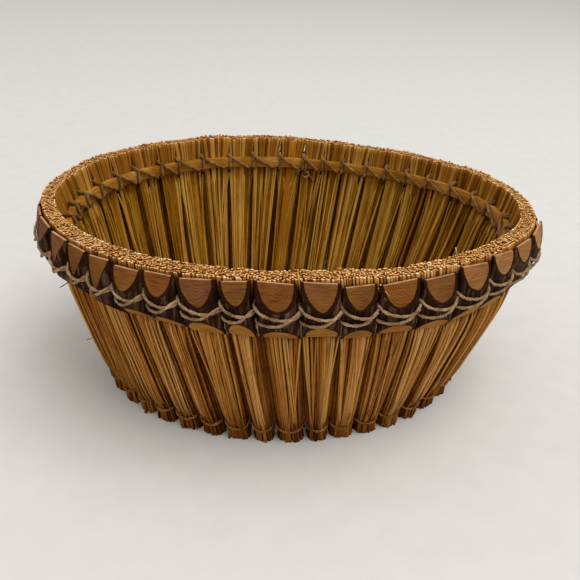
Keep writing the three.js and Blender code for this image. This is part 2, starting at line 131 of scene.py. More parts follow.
# Pixel columns of the gaps between bundles, beginning with the gap of the given number
FRONT_GAPS = -9, (40.8, 50.7, 68.1, 87.6, 112, 141.8, 174.7, 218.2, 251.7, 298, 342.3, 378.3,
                  421.1, 457.7, 490.2, 513.3, 530.5, 542)
REAR_GAPS = 10, (508.7, 493.4, 476.5, 454, 429, 407, 386.6, 367, 343, 323.3, 304, 280.4, 253,
                 229, 201, 176, 158, 133, 114, 96)
FOOT_GAPS = -8, (119.5, 134, 150, 171.5, 196.8, 222.2, 249.7, 274.6, 306.2, 330.6, 357, 381.2,
                 404, 423, 440.4)
MOST_SHIFT = 0.95  # bundle pitches
LAST_FRONT_GAP = 8
LEFT_END = (28, 34)  # between these gaps none can be made out

# Stalks: their wander and bow along the wall are shares of half a bundle's width
OUTER_SPACING = 1.5
OUTER_SPREAD = (0.62, 1.38)
FOOT_WANDER = 0.085
TOP_WANDER = 0.03
BOW = 0.045
OUTER_DEPTH_WANDER = 0.034  # share of the wall's thickness
TAPER = 0.16
TOP_JITTER = 0.32
END_DIP = 0.12  # middle of a cut end
BLADE_SPACING = 2.2
BLADE_SPREAD = (0.5, 1.6)
BLADE_THICKNESS = 1.0
BLADE_DEPTH_WANDER = 0.045
# Single stalks that stick out: gap, height, depth, then how far the tip goes out, up and along,
# and the tone
LOOSE_ENDS = (
    (32.4, 30, 0.4, 5.0, -2.5, -2.0, 0.3),
    (4.4, 119, 8.2, -0.5, 9.0, -4.0, 1.0),
    (34.3, 91, -3.0, 5.0, -3.0, -2.0, 0.0),
    (2.06, 119, 0.0, 5.0, -4.0, 2.8, 1.0),
    (2.02, 117, 0.0, 4.6, -4.0, 2.2, 0.9),
)
LOOSE_HALF = 0.42
GOLD_BLADES = ((20, 0.05, 2.4), (35, -0.2, 1.9))  # bundle, place and half width
GOLD_BLADE_RINGS = (5.0, 20.0, 45.0, 70.0, 95.0, 110.0, 121.5)
STRAYS_PER_BUNDLE = 6
STRAY_HEIGHTS = ((12, 92), (20, 97))  # on the outer and inner face
FOOT_SPREAD = 0.35  # how much thicker the stalks get below the foot cord
FRAYED_SHARE = 0.05
FRAY_SPREAD = (0.5, 1.8)  # how far frayed feet stand out
FRAY_HEIGHT = 7.5
DEEP_SHADE = 0.35  # stalks behind the outer ones are this much darker
OUTER, CORE, BLADE = 0, 1, 2

# Wood slips
SLIP_DROP = 2.2
SLIP_FOOT = 89.2  # height of the lower end
# Slips that differ in the photograph, beginning with the slip of the given number: drop under
# the rim, how much thicker and how much longer cut they are than the others, how far their top
# slopes to the left, how far the twine round them is raised, and the hue of the wood
SEEN_SLIPS = -13, (
    (3.5, -1.2, 0.0, 0.0, 0.0, 0.3),
    (3.5, -1.2, 0.0, 0.0, 0.0, 0.3),
    (4.0, -0.6, 0.0, 0.0, 0.0, 0.3),
    (3.6, 0.4, 1.0, 0.0, 0.0, 0.3),
    (1.0, 1.1, 0.0, 0.0, 0.0, 0.1),
    (1.0, 2.2, 3.0, 0.0, 0.0, 0.15),
    (1.1, 2.4, 3.4, 0.0, 0.3, 0.45),
    (1.4, 3.5, 3.9, 0.0, 0.5, 0.4),
    (2.3, 3.0, -1.2, 0.0, 1.0, 0.4),
    (0.5, 2.6, -0.8, 0.0, 1.8, 0.55),
    (0.5, 0.6, 1.4, 0.09, 0.8, 0.12),
    (0.4, 0.0, 0.0, 0.05, 0.5, 0.35),
    (0.7, 0.3, 0.6, -0.05, 0.1, 0.6),
    (0.9, 0.3, 1.6, -0.09, 0.0, 0.3),
    (2.7, 0.0, -0.8, 0.0, 0.0, 0.4),
    (2.0, 0.0, 0.0, 0.03, 0.0, 0.55),
    (2.4, 0.0, 0.7, 0.0, 0.0, 0.3),
    (0.9, -0.6, 1.0, 0.0, 0.0, 0.76),
    (0.5, -1.2, 0.0, 0.0, 0.6, 0.9),
    (0.9, -1.5, -1.0, 0.0, 0.0, 0.84),
    (0.6, -1.4, -0.5, 0.0, 0.0, 0.9),
    (4.6, -2.0, 0.0, 0.0, 0.0, 0.3),
    (4.0, -1.4, 0.0, 0.0, 0.0, 0.3),
    (3.5, -1.4, 0.0, 0.0, 0.0, 0.3),
)
# How far the upper cut is turned to the left: place in slips, and the share of its depth
FACE_TURNS = ((-10, 0.0), (-9, 0.5), (-8, 0.6), (-7, 0.55), (-6, 0.6), (-5, 0.1), (-4, 0.0))
SLIP_WIDTH = 17.5  # of a slip as thick as the next value says
SLIP_THICKNESS = 5.2
SLIP_EDGE = 1.1
UPPER_BEVEL = 12.4
LOWER_BEVEL = 9.8
SLIP_FULLNESS = 2.05  # 2 is an ellipse, more is squarer
WOOD_FULLNESS = 1.8
SLIP_NECK = 0.03  # share by which the top is narrower than the waist
SLIP_NECK_LENGTH = 11
BARK_SIDE = 0.86  # where the wood ends, as shares of the twig's half width and thickness
BARK_FRONT = 0.95
SLIP_COLUMNS = 25
SLIP_ROWS = 14
SLIP_GAP = 0.35  # least space between neighbouring slips
SLIP_BACK = 0.15
SLIP_SEAM = 0.02  # points nearer than this are joined
WORN_EDGE = 0.22  # width taken off the cut edges
CREASE = math.radians(38)

# Rim hoop and the lashing round it
HOOP_Z = 105.8
HOOP_HEIGHT = 6.8
HOOP_THICKNESS = 3.0
HOOP_GAP = 0.15
HOOP_CORNER = 0.3
HOOP_CREASE = math.radians(50)
WAIST_Z = 102.3
# Heights of both strands over the waist, at shares of the way across a slip
FALLING_STRAND = ((0, 7.0), (0.07, 5.1), (0.15, 4.0), (0.3, 2.9), (0.45, 2.2), (0.6, 1.8),
                  (0.75, 2.0), (0.88, 2.7), (1, 3.4))
RISING_STRAND = ((0, -1.3), (0.2, -1.9), (0.4, -1.5), (0.55, -0.5), (0.68, 1.1), (0.8, 2.9),
                 (0.9, 4.3), (1, 5.3))
RISE_FROM = -12.5  # where a strand comes out between the slips
LOOSE_TWINE = 1.4  # how much wider the twine lies round the hoop
CROSSING = 0.62
CROSSING_WIDTH = 0.2
PASS_STEP = 1.2
SLANT_END = 0.22
KNOT_GAP = 20
KNOT_WIDTH = 0.9  # share of the twine's width

# Two-ply cords: the plies' radius and offset are shares of the cord's diameter
PLY_RADIUS = 0.37
PLY_OFFSET = 0.145
CORD_SIDES = 6  # of a ply's section
PATH_STEP = 0.85
KNOT_PATH_STEP = 0.7

# How strongly the dry materials mirror the light
SHEEN = 0.03

# Foot hoop, stays and mat
FOOT_CORD_SLANT = 0.8
FOOT_CORD_RISE = 1.8  # towards the gaps
FLOOR_HOOP_HEIGHT = 6.0
FLOOR_HOOP_THICKNESS = 3.0
FLOOR_CLEARANCE = 0.3  # round the foot hoop
STAY_COUNT = 3
STAY_STEP = 4
STAY_WIDTH = 5.0
STAY_THICKNESS = 2.5
STAY_SEAM = 0.005  # points nearer than this are joined
# Section, as shares of half the width and of the thickness
STAY_PROFILE = ((-1, 0.1), (-0.85, 0.6), (-0.4, 0.95), (0.4, 0.95), (0.85, 0.6), (1, 0.1),
                (0.9, 0), (-0.9, 0))
MAT_Z = 15.7
MAT_CLEARANCE = 1.2  # to the bundles
STRIP_WIDTH = 5.2
STRIP_THICKNESS = 0.55
STRIP_STEP = STRIP_WIDTH * 1.02
LEAST_STRIP = 6  # shorter half strips are left out
STRIP_PROFILE = ((-1, 0), (-0.8, 0.5), (0, 0.62), (0.8, 0.5), (1, 0), (0.8, -0.5), (-0.8, -0.5))

# Studio, in metres
FLOOR_REACH = 9.0
BACKDROP_Y = 3.0
BACKDROP_BEND = 2.0
BACKDROP_HEIGHT = 8.0
LAMP_PLACE = (0.9, -0.7, 2.7)
LAMP_TARGET = (0, 0, 0.05)
LAMP_SIZE = 2.0
LAMP_POWER = 41
WORLD_COLOUR = (1.0, 0.985, 0.96, 1)
WORLD_STRENGTH = 0.75

# Colours of the settings, written in 0 to 255 sRGB
COLOURS = {
    "stalk_dark": (72, 28, 2, "Darkest stalks outside"),
    "stalk_brown": (134, 82, 26, "Brown stalks outside"),
    "stalk_gold": (169, 117, 50, "Most stalks outside"),
    "stalk_light": (202, 157, 94, "Palest stalks outside"),
    # Painted shade on the stalks seen between the slips
    "painted_shade_behind_slips": (150, 124, 110, "Tint of the stalks behind the slips"),
    # Painted shade: the stalks darken towards the ground
    "painted_foot_shade": (184, 164, 126, "Tint of the stalks near the ground"),
    "stalk_red": (246, 220, 190, "Tint of the redder stalks"),
    "inside_dark": (66, 30, 1, "Darkest stalks inside"),
    "inside_gold": (158, 107, 25, "Most stalks inside"),
    "inside_light": (210, 164, 76, "Palest stalks inside"),
    "inside_brown": (140, 84, 30, "Inside of the rim above the hoop"),
    "golden_blade": (178, 112, 18, "The few golden blades"),
    "end_dark": (164, 104, 50, "Darkest cut ends"),
    "end_mid": (238, 182, 112, "Most cut ends"),
    "end_light": (255, 238, 190, "Palest cut ends"),
    "bark_dark": (12, 4, 2, "Furrows of the bark"),
    "bark_brown": (44, 22, 12, "Bark"),
    "bark_grey": (112, 86, 60, "Rubbed ridges of the bark"),
    "bark_edge": (40, 20, 8, "Bark round the sawn wood"),
    "wood_pink": (130, 82, 50, "Pinkish wood of the upper cuts"),
    "wood_gold": (130, 84, 38, "Golden wood of the upper cuts"),
    "wood_orange": (134, 80, 36, "Orange wood of the upper cuts"),
    "wood_tan": (174, 126, 76, "Tan wood of the upper cuts"),
    "wood_top": (208, 156, 118, "Pale flat tops of the slips"),
    "foot_gold": (172, 120, 46, "Golden wood of the lower cuts"),
    "foot_brown": (160, 106, 46, "Brown wood of the lower cuts"),
    "cane_dark": (98, 58, 10, "Dark cane"),
    "cane_gold": (160, 108, 34, "Cane of both hoops"),
    "cane_light": (206, 158, 84, "Pale cane"),
    "twine_dark": (76, 50, 28, "Dark fibres of the rim twine"),
    "twine_mid": (148, 118, 84, "Rim twine"),
    "twine_light": (202, 174, 138, "Pale fibres of the rim twine"),
    # Painted shade on the rim twine where it lies inside the wall
    "painted_twine_shade": (232, 206, 170, "Tint of the twine round the hoop"),
    "foot_dark": (70, 36, 14, "Dark fibres of the foot cord"),
    "foot_mid": (132, 84, 42, "Foot cord"),
    "foot_light": (184, 132, 80, "Pale fibres of the foot cord"),
    "floor": (226, 224, 220, "Studio floor"),
}
# Hues of the sawn wood, from which each slip has its own
FACE_HUES = ("wood_pink", "wood_gold", "wood_orange", "wood_tan")
TOP_HUES = ("wood_top", "wood_top")
FOOT_HUES = ("foot_gold", "foot_brown", "foot_gold")


# The wall's surface

def oval_table(length, width):
    """Angles round an oval from the middle of its front, and the share of the way at each."""
    angles = np.linspace(-0.5 * math.pi, 1.5 * math.pi, OVAL_STEPS + 1)
    x = 0.5 * length * np.cos(angles)
    y = 0.5 * width * np.sin(angles)
    way = np.concatenate([[0], np.cumsum(np.hypot(np.diff(x), np.diff(y)))])
    return {"half": (0.5 * length, 0.5 * width), "angles": angles, "shares": way / way[-1]}


RIM_OVAL = oval_table(RIM_LENGTH, RIM_WIDTH)
FOOT_OVAL = oval_table(FOOT_LENGTH, FOOT_WIDTH)


def oval_at(oval, pitches):
    """Points and outward normals of an oval at places counted in bundle pitches."""
    share = np.mod(pitches / BUNDLE_COUNT, 1)
    angle = np.interp(share, oval["shares"], oval["angles"])
    half_x, half_y = oval["half"]
    point = np.stack([half_x * np.cos(angle), half_y * np.sin(angle)], -1)
    normal = point / np.array([half_x ** 2, half_y ** 2])
    return point, normal / np.linalg.norm(normal, axis=-1, keepdims=True)


def bulge_at(point, z):
    """How far the wall swells out from the straight line between foot and rim."""
    to_right = point[..., 0] / np.linalg.norm(point, axis=-1)
    swell = np.sin(math.pi * np.clip(z / HEIGHT, 0, 1) ** BULGE_SKEW)
    rim = RIM_TO_RIGHT * np.clip(to_right, 0, 1) ** 3 * z / HEIGHT
    return (BULGE + BULGE_TO_RIGHT * to_right) * swell + rim


def wall_at(rim_pitches, foot_pitches, z, inward, along):
    """Points reached from the wall's outer surface by going inward and along the wall."""
    top, top_normal = oval_at(RIM_OVAL, rim_pitches + FRONT_GAP_SHIFT)
    foot, foot_normal = oval_at(FOOT_OVAL, foot_pitches + FRONT_GAP_SHIFT + FOOT_TWIST)
    share = (z / HEIGHT)[..., None]
    point = foot + (top - foot) * share
    normal = foot_normal + (top_normal - foot_normal) * share
    normal /= np.linalg.norm(normal, axis=-1, keepdims=True)
    aside = np.stack([-normal[..., 1], normal[..., 0]], -1)
    waist = np.exp(-((z - WAIST_TUCK_Z) / WAIST_TUCK_HEIGHT) ** 2)
    waist_tuck = near_ends(rim_pitches, WAIST_TUCKS, WAIST_TUCK_REACH) * waist
    out = (bulge_at(point, z) - waist_tuck - inward)[..., None]
    flat = point + normal * out + aside * along[..., None] + np.array([CENTRE_SHIFT, 0])
    raised = z + lift_at(RIM_LIFTS, rim_pitches) * (z / HEIGHT) ** 2
    raised += lift_at(CUT_LIFTS, rim_pitches) * (z / HEIGHT) ** CUT_LIFT_POWER
    return np.concatenate([flat, raised[..., None]], -1), normal, aside


def lift_at(lifts, pitches):
    """Height over the mean at places counted in bundle pitches."""
    return np.interp(pitches, np.arange(len(lifts)) * LIFT_STEP, lifts, period=BUNDLE_COUNT)


def end_tuck(place, z):
    """How far the outer edge of the rim stands in at the two ends of the oval."""
    high = np.clip((z - END_TUCK_FROM) / (HEIGHT - END_TUCK_FROM), 0, 1)
    return near_ends(place, END_TUCKS, END_TUCK_REACH) * high


def near_ends(place, tucks, reach):
    """Tucks given as gap and size, each fading to nothing at the given reach in pitches."""
    place = np.mod(place, BUNDLE_COUNT)
    return sum(size * np.clip(1 - ((place - gap) / reach) ** 2, 0, None) for gap, size in tucks)


def photo_columns(points):
    """Pixel columns of the photograph at which points show."""
    forward, right, _ = camera_axes()
    away = points - np.array(CAMERA_PLACE)
    return PHOTO_SIZE / 2 + CAMERA_FOCUS * (away @ right) / (away @ forward)


def camera_axes():
    """Forward, right and up of the photograph's camera."""
    sin_yaw, cos_yaw = math.sin(CAMERA_YAW), math.cos(CAMERA_YAW)
    sin_pitch, cos_pitch = math.sin(CAMERA_PITCH), math.cos(CAMERA_PITCH)
    forward = np.array([sin_yaw * cos_pitch, cos_yaw * cos_pitch, -sin_pitch])
    level = np.array([cos_yaw, -sin_yaw, 0])
    upright = np.cross(level, forward)
    right = level * math.cos(CAMERA_ROLL) + upright * math.sin(CAMERA_ROLL)
    up = upright * math.cos(CAMERA_ROLL) - level * math.sin(CAMERA_ROLL)
    return forward, right, up


def gap_shifts(seen, z, inward):
    """How far each gap stands from an even spacing, from the pixel columns of those seen."""
    first, columns = seen
    numbers = np.arange(first, first + len(columns))
    steps = np.linspace(-MOST_SHIFT, MOST_SHIFT, 381)
    shifts = []
    for number, column in zip(numbers, columns):
        places = number + steps
        level = np.full(len(places), float(z))
        points = wall_at(places, places, level, level * 0 + inward, level * 0)[0]
        miss = np.abs(photo_columns(points) - column) + np.abs(steps)
        shifts.append(steps[np.argmin(miss)])
    return np.interp(np.arange(BUNDLE_COUNT), numbers, shifts, period=BUNDLE_COUNT)


# Gaps are read on the slips, on the inner face over the hoop, and over the foot cord
FRONT_SHIFTS = gap_shifts(FRONT_GAPS, 120, -0.6)
REAR_SHIFTS = gap_shifts(REAR_GAPS, 111, 11)
FOOT_SHIFTS = gap_shifts(FOOT_GAPS, 10.5, 2.5)
GAPS = np.arange(BUNDLE_COUNT)
IN_FRONT = (GAPS <= LAST_FRONT_GAP) | (GAPS >= LEFT_END[1])
RIM_SHIFTS = np.where(IN_FRONT, FRONT_SHIFTS, REAR_SHIFTS)
BESIDE_LEFT = np.arange(LEFT_END[0], LEFT_END[1] + 1)
RIM_SHIFTS[BESIDE_LEFT] = np.interp(BESIDE_LEFT, LEFT_END, RIM_SHIFTS[list(LEFT_END)])


def shift_at(shifts, pitches):
    return np.interp(pitches, np.arange(BUNDLE_COUNT), shifts, period=BUNDLE_COUNT)


def wall_frame(pitches, z, inward=0.0, along=0.0):
    """Points, outward normals and along-wall directions on the basket's own wall."""
    arrays = np.broadcast_arrays(pitches, z, inward, along)
    pitches, z, inward, along = (np.array(a, float) for a in arrays)
    rim = pitches + shift_at(RIM_SHIFTS, pitches)
    foot = pitches + shift_at(FOOT_SHIFTS, pitches)
    return wall_at(rim, foot, z, inward, along)


def wall_point(pitches, z, inward=0.0, along=0.0):
    return wall_frame(pitches, z, inward, along)[0]


def level_values(z):
    """Outer inset, thickness, gap and roundness of a bundle at a height."""
    table = np.array(WALL_LEVELS, float)
    return [np.interp(z, table[:, 0], table[:, column]) for column in range(1, 5)]


def inner_face(z):
    inset, thickness, _, _ = level_values(z)
    return inset + thickness


def pitch_width(gap, z):
    """Distance along the wall from one gap to the next."""
    left = wall_point(gap, z)
    right = wall_point(gap + 1, z)
    return np.linalg.norm(right - left, axis=-1)


# Meshes

def make_piece(name, points, faces, materials, node_names, slot, **details):
    """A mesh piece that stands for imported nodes. Points are in millimetres."""
    mesh = bpy.data.meshes.new(name)
    mesh.from_pydata((np.asarray(points) * MM).tolist(), [], faces)
    for material in materials:
        mesh.materials.append(material)
    if "face_materials" in details:
        mesh.polygons.foreach_set("material_index", np.asarray(details["face_materials"], np.int32))
    smooth = details.get("smooth", np.ones(len(faces), bool))
    mesh.polygons.foreach_set("use_smooth", np.asarray(smooth, bool))
    for label, values in details.get("values", {}).items():
        kind = "FLOAT" if np.ndim(values) == 1 else "FLOAT_VECTOR"
        field = "value" if kind == "FLOAT" else "vector"
        layer = mesh.attributes.new(label, kind, "POINT")
        layer.data.foreach_set(field, np.asarray(values, np.float32).ravel())
    mesh.update()
    piece = bpy.data.objects.new(name, mesh)
    bpy.context.scene.collection.objects.link(piece)
    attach(piece, "root")
    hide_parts(*node_names)
    return piece


def tube_faces(count, rings, sides):
    """Side faces of tubes whose points run tube by tube, ring by ring, side by side."""
    tube = np.arange(count)[:, None, None] * rings * sides
    ring = np.arange(rings - 1)[None, :, None] * sides
    side = np.arange(sides)[None, None, :]
    beside = (side + 1) % sides
    here = tube + ring
    quads = np.stack([here + side, here + beside, here + beside + sides, here + side + sides], -1)
    return quads.reshape(-1, 4)


def closed_tube(rings, sides, first=0):
    """Faces of one tube and its two ends."""
    last = first + (rings - 1) * sides
    ends = [[first + s for s in reversed(range(sides))], [last + s for s in range(sides)]]
    return (tube_faces(1, rings, sides) + first).tolist() + ends


def smooth_path(points, step):
    """Evenly spaced points on a smooth curve through the given points."""
    points = np.asarray(points, float)
    before = np.vstack([2 * points[0] - points[1], points[:-1]])[:-1]
    after = np.vstack([points[1:], 2 * points[-1] - points[-2]])[1:]
    share = np.linspace(0, 1, 9)[:-1, None]
    pieces = []
    for p0, p1, p2, p3 in zip(before, points[:-1], points[1:], after):
        pieces.append(0.5 * (
            2 * p1 + (p2 - p0) * share + (2 * p0 - 5 * p1 + 4 * p2 - p3) * share ** 2
            + (3 * p1 - p0 - 3 * p2 + p3) * share ** 3
        ))
    dense = np.vstack(pieces + [points[-1:]])
    way = np.concatenate([[0], np.cumsum(np.linalg.norm(np.diff(dense, axis=0), axis=1))])
    even = np.linspace(0, way[-1], max(2, int(way[-1] / step)) + 1)
    return np.stack([np.interp(even, way, dense[:, axis]) for axis in range(3)], -1)


def path_frames(path):
    """Two directions across a path that turn as little as they can along it."""
    tangents = np.gradient(path, axis=0)
    tangents /= np.linalg.norm(tangents, axis=1, keepdims=True)
    start = np.cross(tangents[0], (0.3, 0.2, 0.9))
    sides = [start / np.linalg.norm(start)]
    for tangent in tangents[1:]:
        side = sides[-1] - tangent * (sides[-1] @ tangent)
        sides.append(side / np.linalg.norm(side))
    sides = np.array(sides)
    return sides, np.cross(tangents, sides)


def twisted_cord(path, diameter, lay):
    """Points and faces of a two-ply cord along a path, and each point's place along it."""
    across, over = path_frames(path)
    width = np.broadcast_to(diameter, len(path))[:, None]
    way = np.concatenate([[0], np.cumsum(np.linalg.norm(np.diff(path, axis=0), axis=1))])
    angle = np.arange(CORD_SIDES)[:, None] / CORD_SIDES * 2 * math.pi
    points, faces = [], []
    for ply in (0, 1):
        turn = way / lay * 2 * math.pi + ply * math.pi
        outward = across * np.cos(turn)[:, None] + over * np.sin(turn)[:, None]
        beside = over * np.cos(turn)[:, None] - across * np.sin(turn)[:, None]
        middle = path + outward * width * PLY_OFFSET
        round_it = outward[:, None] * np.cos(angle) + beside[:, None] * np.sin(angle)
        points.append((middle[:, None] + round_it * width[:, None] * PLY_RADIUS).reshape(-1, 3))
        faces += closed_tube(len(path), CORD_SIDES, ply * len(path) * CORD_SIDES)
    return np.vstack(points), faces, np.tile(np.repeat(way, CORD_SIDES), 2)


# Materials

class Shader:
    """A procedural material under construction. Colours go by their names in the settings."""

    def __init__(self, name, roughness, colours):
        self.colours = colours
        self.material = bpy.data.materials.new(name)
        self.material.use_nodes = True
        self.tree = self.material.node_tree
        self.surface = self.tree.nodes["Principled BSDF"]
        self.surface.inputs["Roughness"].default_value = roughness
        self.surface.inputs["Specular IOR Level"].default_value = SHEEN

    def colour(self, source):
        """A colour given by its name or by its three shares, with its alpha."""
        return (*(getattr(self.colours, source) if isinstance(source, str) else source), 1)

    def put(self, source, socket):
        """Gives a socket another node's output, a number or a colour."""
        if isinstance(source, bpy.types.NodeSocket):
            self.tree.links.new(source, socket)
        elif isinstance(source, (int, float)):
            socket.default_value = source
        else:
            socket.default_value = self.colour(source)

    def node(self, kind, sources, **settings):
        """A node with its settings, and sources by the name or number of its inputs."""
        node = self.tree.nodes.new(kind)
        for setting, value in settings.items():
            setattr(node, setting, value)
        for socket, source in sources.items():
            self.put(source, node.inputs[socket])
        return node

    def value(self, label, output="Fac"):
        """A number or vector kept on the mesh."""
        return self.node("ShaderNodeAttribute", {}, attribute_name=label).outputs[output]

    def place(self, scales):
        """Coordinates on the piece, stretched by a scale for each axis."""
        coordinates = self.node("ShaderNodeTexCoord", {}).outputs["Object"]
        mapping = self.node("ShaderNodeMapping", {"Vector": coordinates})
        mapping.inputs["Scale"].default_value = scales
        return mapping.outputs["Vector"]

    def axis(self, vector, name):
        return self.node("ShaderNodeSeparateXYZ", {"Vector": vector}).outputs[name]

    def noise(self, vector, detail=3.0, roughness=0.5, scale=1.0):
        """Noise over a vector, or over the piece's coordinates stretched by three scales."""
        if isinstance(vector, tuple):
            vector = self.place(vector)
        sources = {"Vector": vector, "Scale": scale, "Detail": detail, "Roughness": roughness}
        return self.node("ShaderNodeTexNoise", sources).outputs["Fac"]

    def math(self, operation, *sources):
        sources = dict(enumerate(sources))
        return self.node("ShaderNodeMath", sources, operation=operation).outputs[0]

    def total(self, start, *parts):
        """A number plus others, each times its weight."""
        for source, weight in parts:
            start = self.math("MULTIPLY_ADD", source, weight, start)
        return start

    def ramp(self, source, *stops):
        """Colours blended by a number: stops are (place, colour)."""
        ramp = self.node("ShaderNodeValToRGB", {"Fac": source})
        points = ramp.color_ramp.elements
        while len(points) < len(stops):
            points.new(0.5)
        for point, (place, colour) in zip(points, stops):
            point.position = place
            point.color = self.colour(colour)
        return ramp.outputs["Color"]

    def mix(self, factor, first, second, blend="MIX"):
        sources = {0: factor, 6: first, 7: second}
        node = self.node("ShaderNodeMix", sources, data_type="RGBA", blend_type=blend)
        return node.outputs[2]

    def bump(self, height, strength, distance):
        sources = {"Height": height, "Strength": strength, "Distance": distance}
        bump = self.node("ShaderNodeBump", sources)
        self.put(bump.outputs["Normal"], self.surface.inputs["Normal"])

    def finish(self, colour):
        self.put(colour, self.surface.inputs["Base Color"])
        return self.material


def stalk_skin(colours):
    """Dry stalk skin: each stalk its own tone and hue, fine streaks, olive gold inside."""
    shader = Shader("stalk_skin", 0.55, colours)
    tone = shader.value("tone")
    inner = shader.value("inner")
    height = shader.axis(shader.place((1, 1, 1)), "Z")
    streaks = shader.noise((900, 900, 22), 3.0, 0.6)
    patches = shader.noise((60, 60, 25), 2.0)
    shade = shader.total(-0.5, (tone, 1.0), (streaks, 0.5), (patches, 0.5))
    outside = shader.ramp(shade, (0.0, "stalk_dark"), (0.3, "stalk_brown"),
                          (0.62, "stalk_gold"), (1.0, "stalk_light"))
    hue = shader.math("FRACT", shader.math("MULTIPLY", tone, 37.0))
    outside = shader.mix(shader.math("MULTIPLY", hue, 0.55), outside, "stalk_red", "MULTIPLY")
    # Painted shade: the outer stalks darken towards the ground, from 34 mm down to 4 mm
    foot_shade_ramp = shader.ramp(height, (0.004, "painted_foot_shade"), (0.034, WHITE))
    outside = shader.mix(1.0, outside, foot_shade_ramp, "MULTIPLY")
    # Painted shade on the outer stalks behind the slips, from 87 to 120 mm up
    behind = shader.ramp(height, (0.087, WHITE), (0.092, "painted_shade_behind_slips"),
                         (0.114, "painted_shade_behind_slips"), (0.12, WHITE))
    outside = shader.mix(1.0, outside, behind, "MULTIPLY")
    inside = shader.ramp(shade, (0.05, "inside_dark"), (0.5, "inside_gold"), (1.0, "inside_light"))
    above = shader.ramp(height, (0.106, BLACK), (0.112, WHITE))
    inside = shader.mix(above, inside, shader.mix(0.5, inside, "inside_brown"))
    golden = shader.math("SUBTRACT", inner, 1.0)
    inside = shader.mix(golden, inside, shader.mix(shade, "inside_dark", "golden_blade"))
    shader.bump(streaks, 0.35, 0.0003)
    return shader.finish(shader.mix(inner, outside, inside))


def cut_end(colours):
    """Cut stalk end: pale pith in a darker ring of skin."""
    shader = Shader("cut_end", 0.8, colours)
    grain = shader.noise((2200, 2200, 2200), 2.0)
    shade = shader.total(-0.4, (shader.value("tone"), 1.0), (grain, 0.8))
    pith = shader.ramp(shade, (0.0, "end_dark"), (0.4, "end_mid"), (1.0, "end_light"))
    ring = shader.math("MULTIPLY", shader.value("core"), 3.5)
    return shader.finish(shader.mix(ring, "end_dark", pith))


def bark(colours):
    """Twig bark: dark, ridged lengthwise, with greyish rubbed ridges and pores."""
    shader = Shader("bark", 0.6, colours)
    ridges = shader.noise((520, 520, 60), 4.0, 0.65)
    patches = shader.noise((70, 70, 40))
    pores = shader.noise((420, 420, 900), 2.0)
    shade = shader.total(0.0, (ridges, 0.75), (patches, 0.35))
    colour = shader.ramp(shade, (0.36, "bark_dark"), (0.56, "bark_brown"), (0.74, "bark_grey"))
    speck = shader.ramp(pores, (0.66, BLACK), (0.74, WHITE))
    colour = shader.mix(shader.math("MULTIPLY", speck, 0.35), colour, "bark_grey")
    shader.bump(ridges, 0.5, 0.0005)
    return shader.finish(colour)


def sawn_wood(colours, name, hues, ring_count, ring_depth):
    """Slanting cut through a twig: each with its own hue, faint rings, and a bark edge."""
    shader = Shader(name, 0.65, colours)
    twig = shader.value("twig", "Vector")
    across = shader.math("DIVIDE", shader.math("ABSOLUTE", shader.axis(twig, "X")), BARK_SIDE)
    out = shader.math("DIVIDE", shader.math("ABSOLUTE", shader.axis(twig, "Y")), BARK_FRONT)
    reach = shader.math("ADD", shader.math("POWER", across, WOOD_FULLNESS),
                        shader.math("POWER", out, WOOD_FULLNESS))
    reach = shader.math("POWER", reach, 1 / WOOD_FULLNESS)
    wavy = shader.total(-0.11, (reach, 1.0), (shader.noise((130, 130, 130)), 0.22))
    rings = shader.math("SINE", shader.math("MULTIPLY", wavy, ring_count * 2 * math.pi))
    ringed = shader.math("FRACT", shader.math("MULTIPLY", shader.axis(twig, "Z"), 7.0))
    rings = shader.math("MULTIPLY", rings, shader.math("MULTIPLY", ringed, ring_depth))
    fibre = shader.noise((150, 150, 1500), 3.0, 0.6)
    shade = shader.total(rings, (fibre, 0.6), (shader.noise((75, 75, 75)), 0.4))
    places = np.linspace(0.1, 0.9, len(hues)).tolist()
    light = shader.ramp(shader.value("hue"), *zip(places, hues))
    depth = shader.ramp(shade, (0.36, (0.45, 0.4, 0.36)), (0.5, (0.75, 0.73, 0.7)), (0.64, WHITE))
    colour = shader.mix(1.0, light, depth, "MULTIPLY")
    rim = shader.ramp(wavy, (0.96, BLACK), (1.0, WHITE))
    shader.bump(shade, 0.2, 0.0003)
    return shader.finish(shader.mix(rim, colour, "bark_edge"))


def split_cane(colours):
    """Split cane: smooth golden skin with fine lengthwise fibres, darker at its nicks."""
    shader = Shader("split_cane", 0.42, colours)
    fibres = shader.noise((110, 110, 1600), 3.0, 0.6)
    shade = shader.total(0.0, (fibres, 0.5), (shader.noise((45, 45, 45)), 0.6))
    shader.bump(fibres, 0.25, 0.0003)
    return shader.finish(shader.ramp(
        shade, (0.35, "cane_dark"), (0.55, "cane_gold"), (0.78, "cane_light")))


def spun_cord(colours, name, colour_name, roughness):
    """Spun plant fibre: fine threads, darker and paler lengths, and painted shade inside the wall.
    """
    shader = Shader(name, roughness, colours)
    threads = shader.noise((1500, 1500, 1500), 3.0, 0.7)
    stretch = shader.node("ShaderNodeCombineXYZ", {"X": shader.value("way")})
    lengths = shader.noise(stretch.outputs["Vector"], 2.0, scale=0.12)
    shade = shader.total(0.0, (threads, 0.55), (lengths, 0.5))
    colour = shader.ramp(shade, (0.36, f"{colour_name}_dark"), (0.52, f"{colour_name}_mid"),
                         (0.68, f"{colour_name}_light"))
    shader.bump(threads, 0.6, 0.0004)
    return shader.finish(shader.mix(shader.value("twine_shade_share"), colour, "painted_twine_shade", "MULTIPLY"))


def mat_strip(colours):
    """Flat strips of the woven floor."""
    shader = Shader("mat_strip", 0.6, colours)
    grain = shader.noise(shader.value("grain", "Vector"), 3.0, 0.6)
    shade = shader.total(0.0, (shader.value("tone"), 0.6), (grain, 0.6))
    shader.bump(grain, 0.3, 0.0003)
    return shader.finish(shader.ramp(
        shade, (0.2, "inside_dark"), (0.55, "inside_gold"), (0.95, "inside_light")))


# Stalk bundles

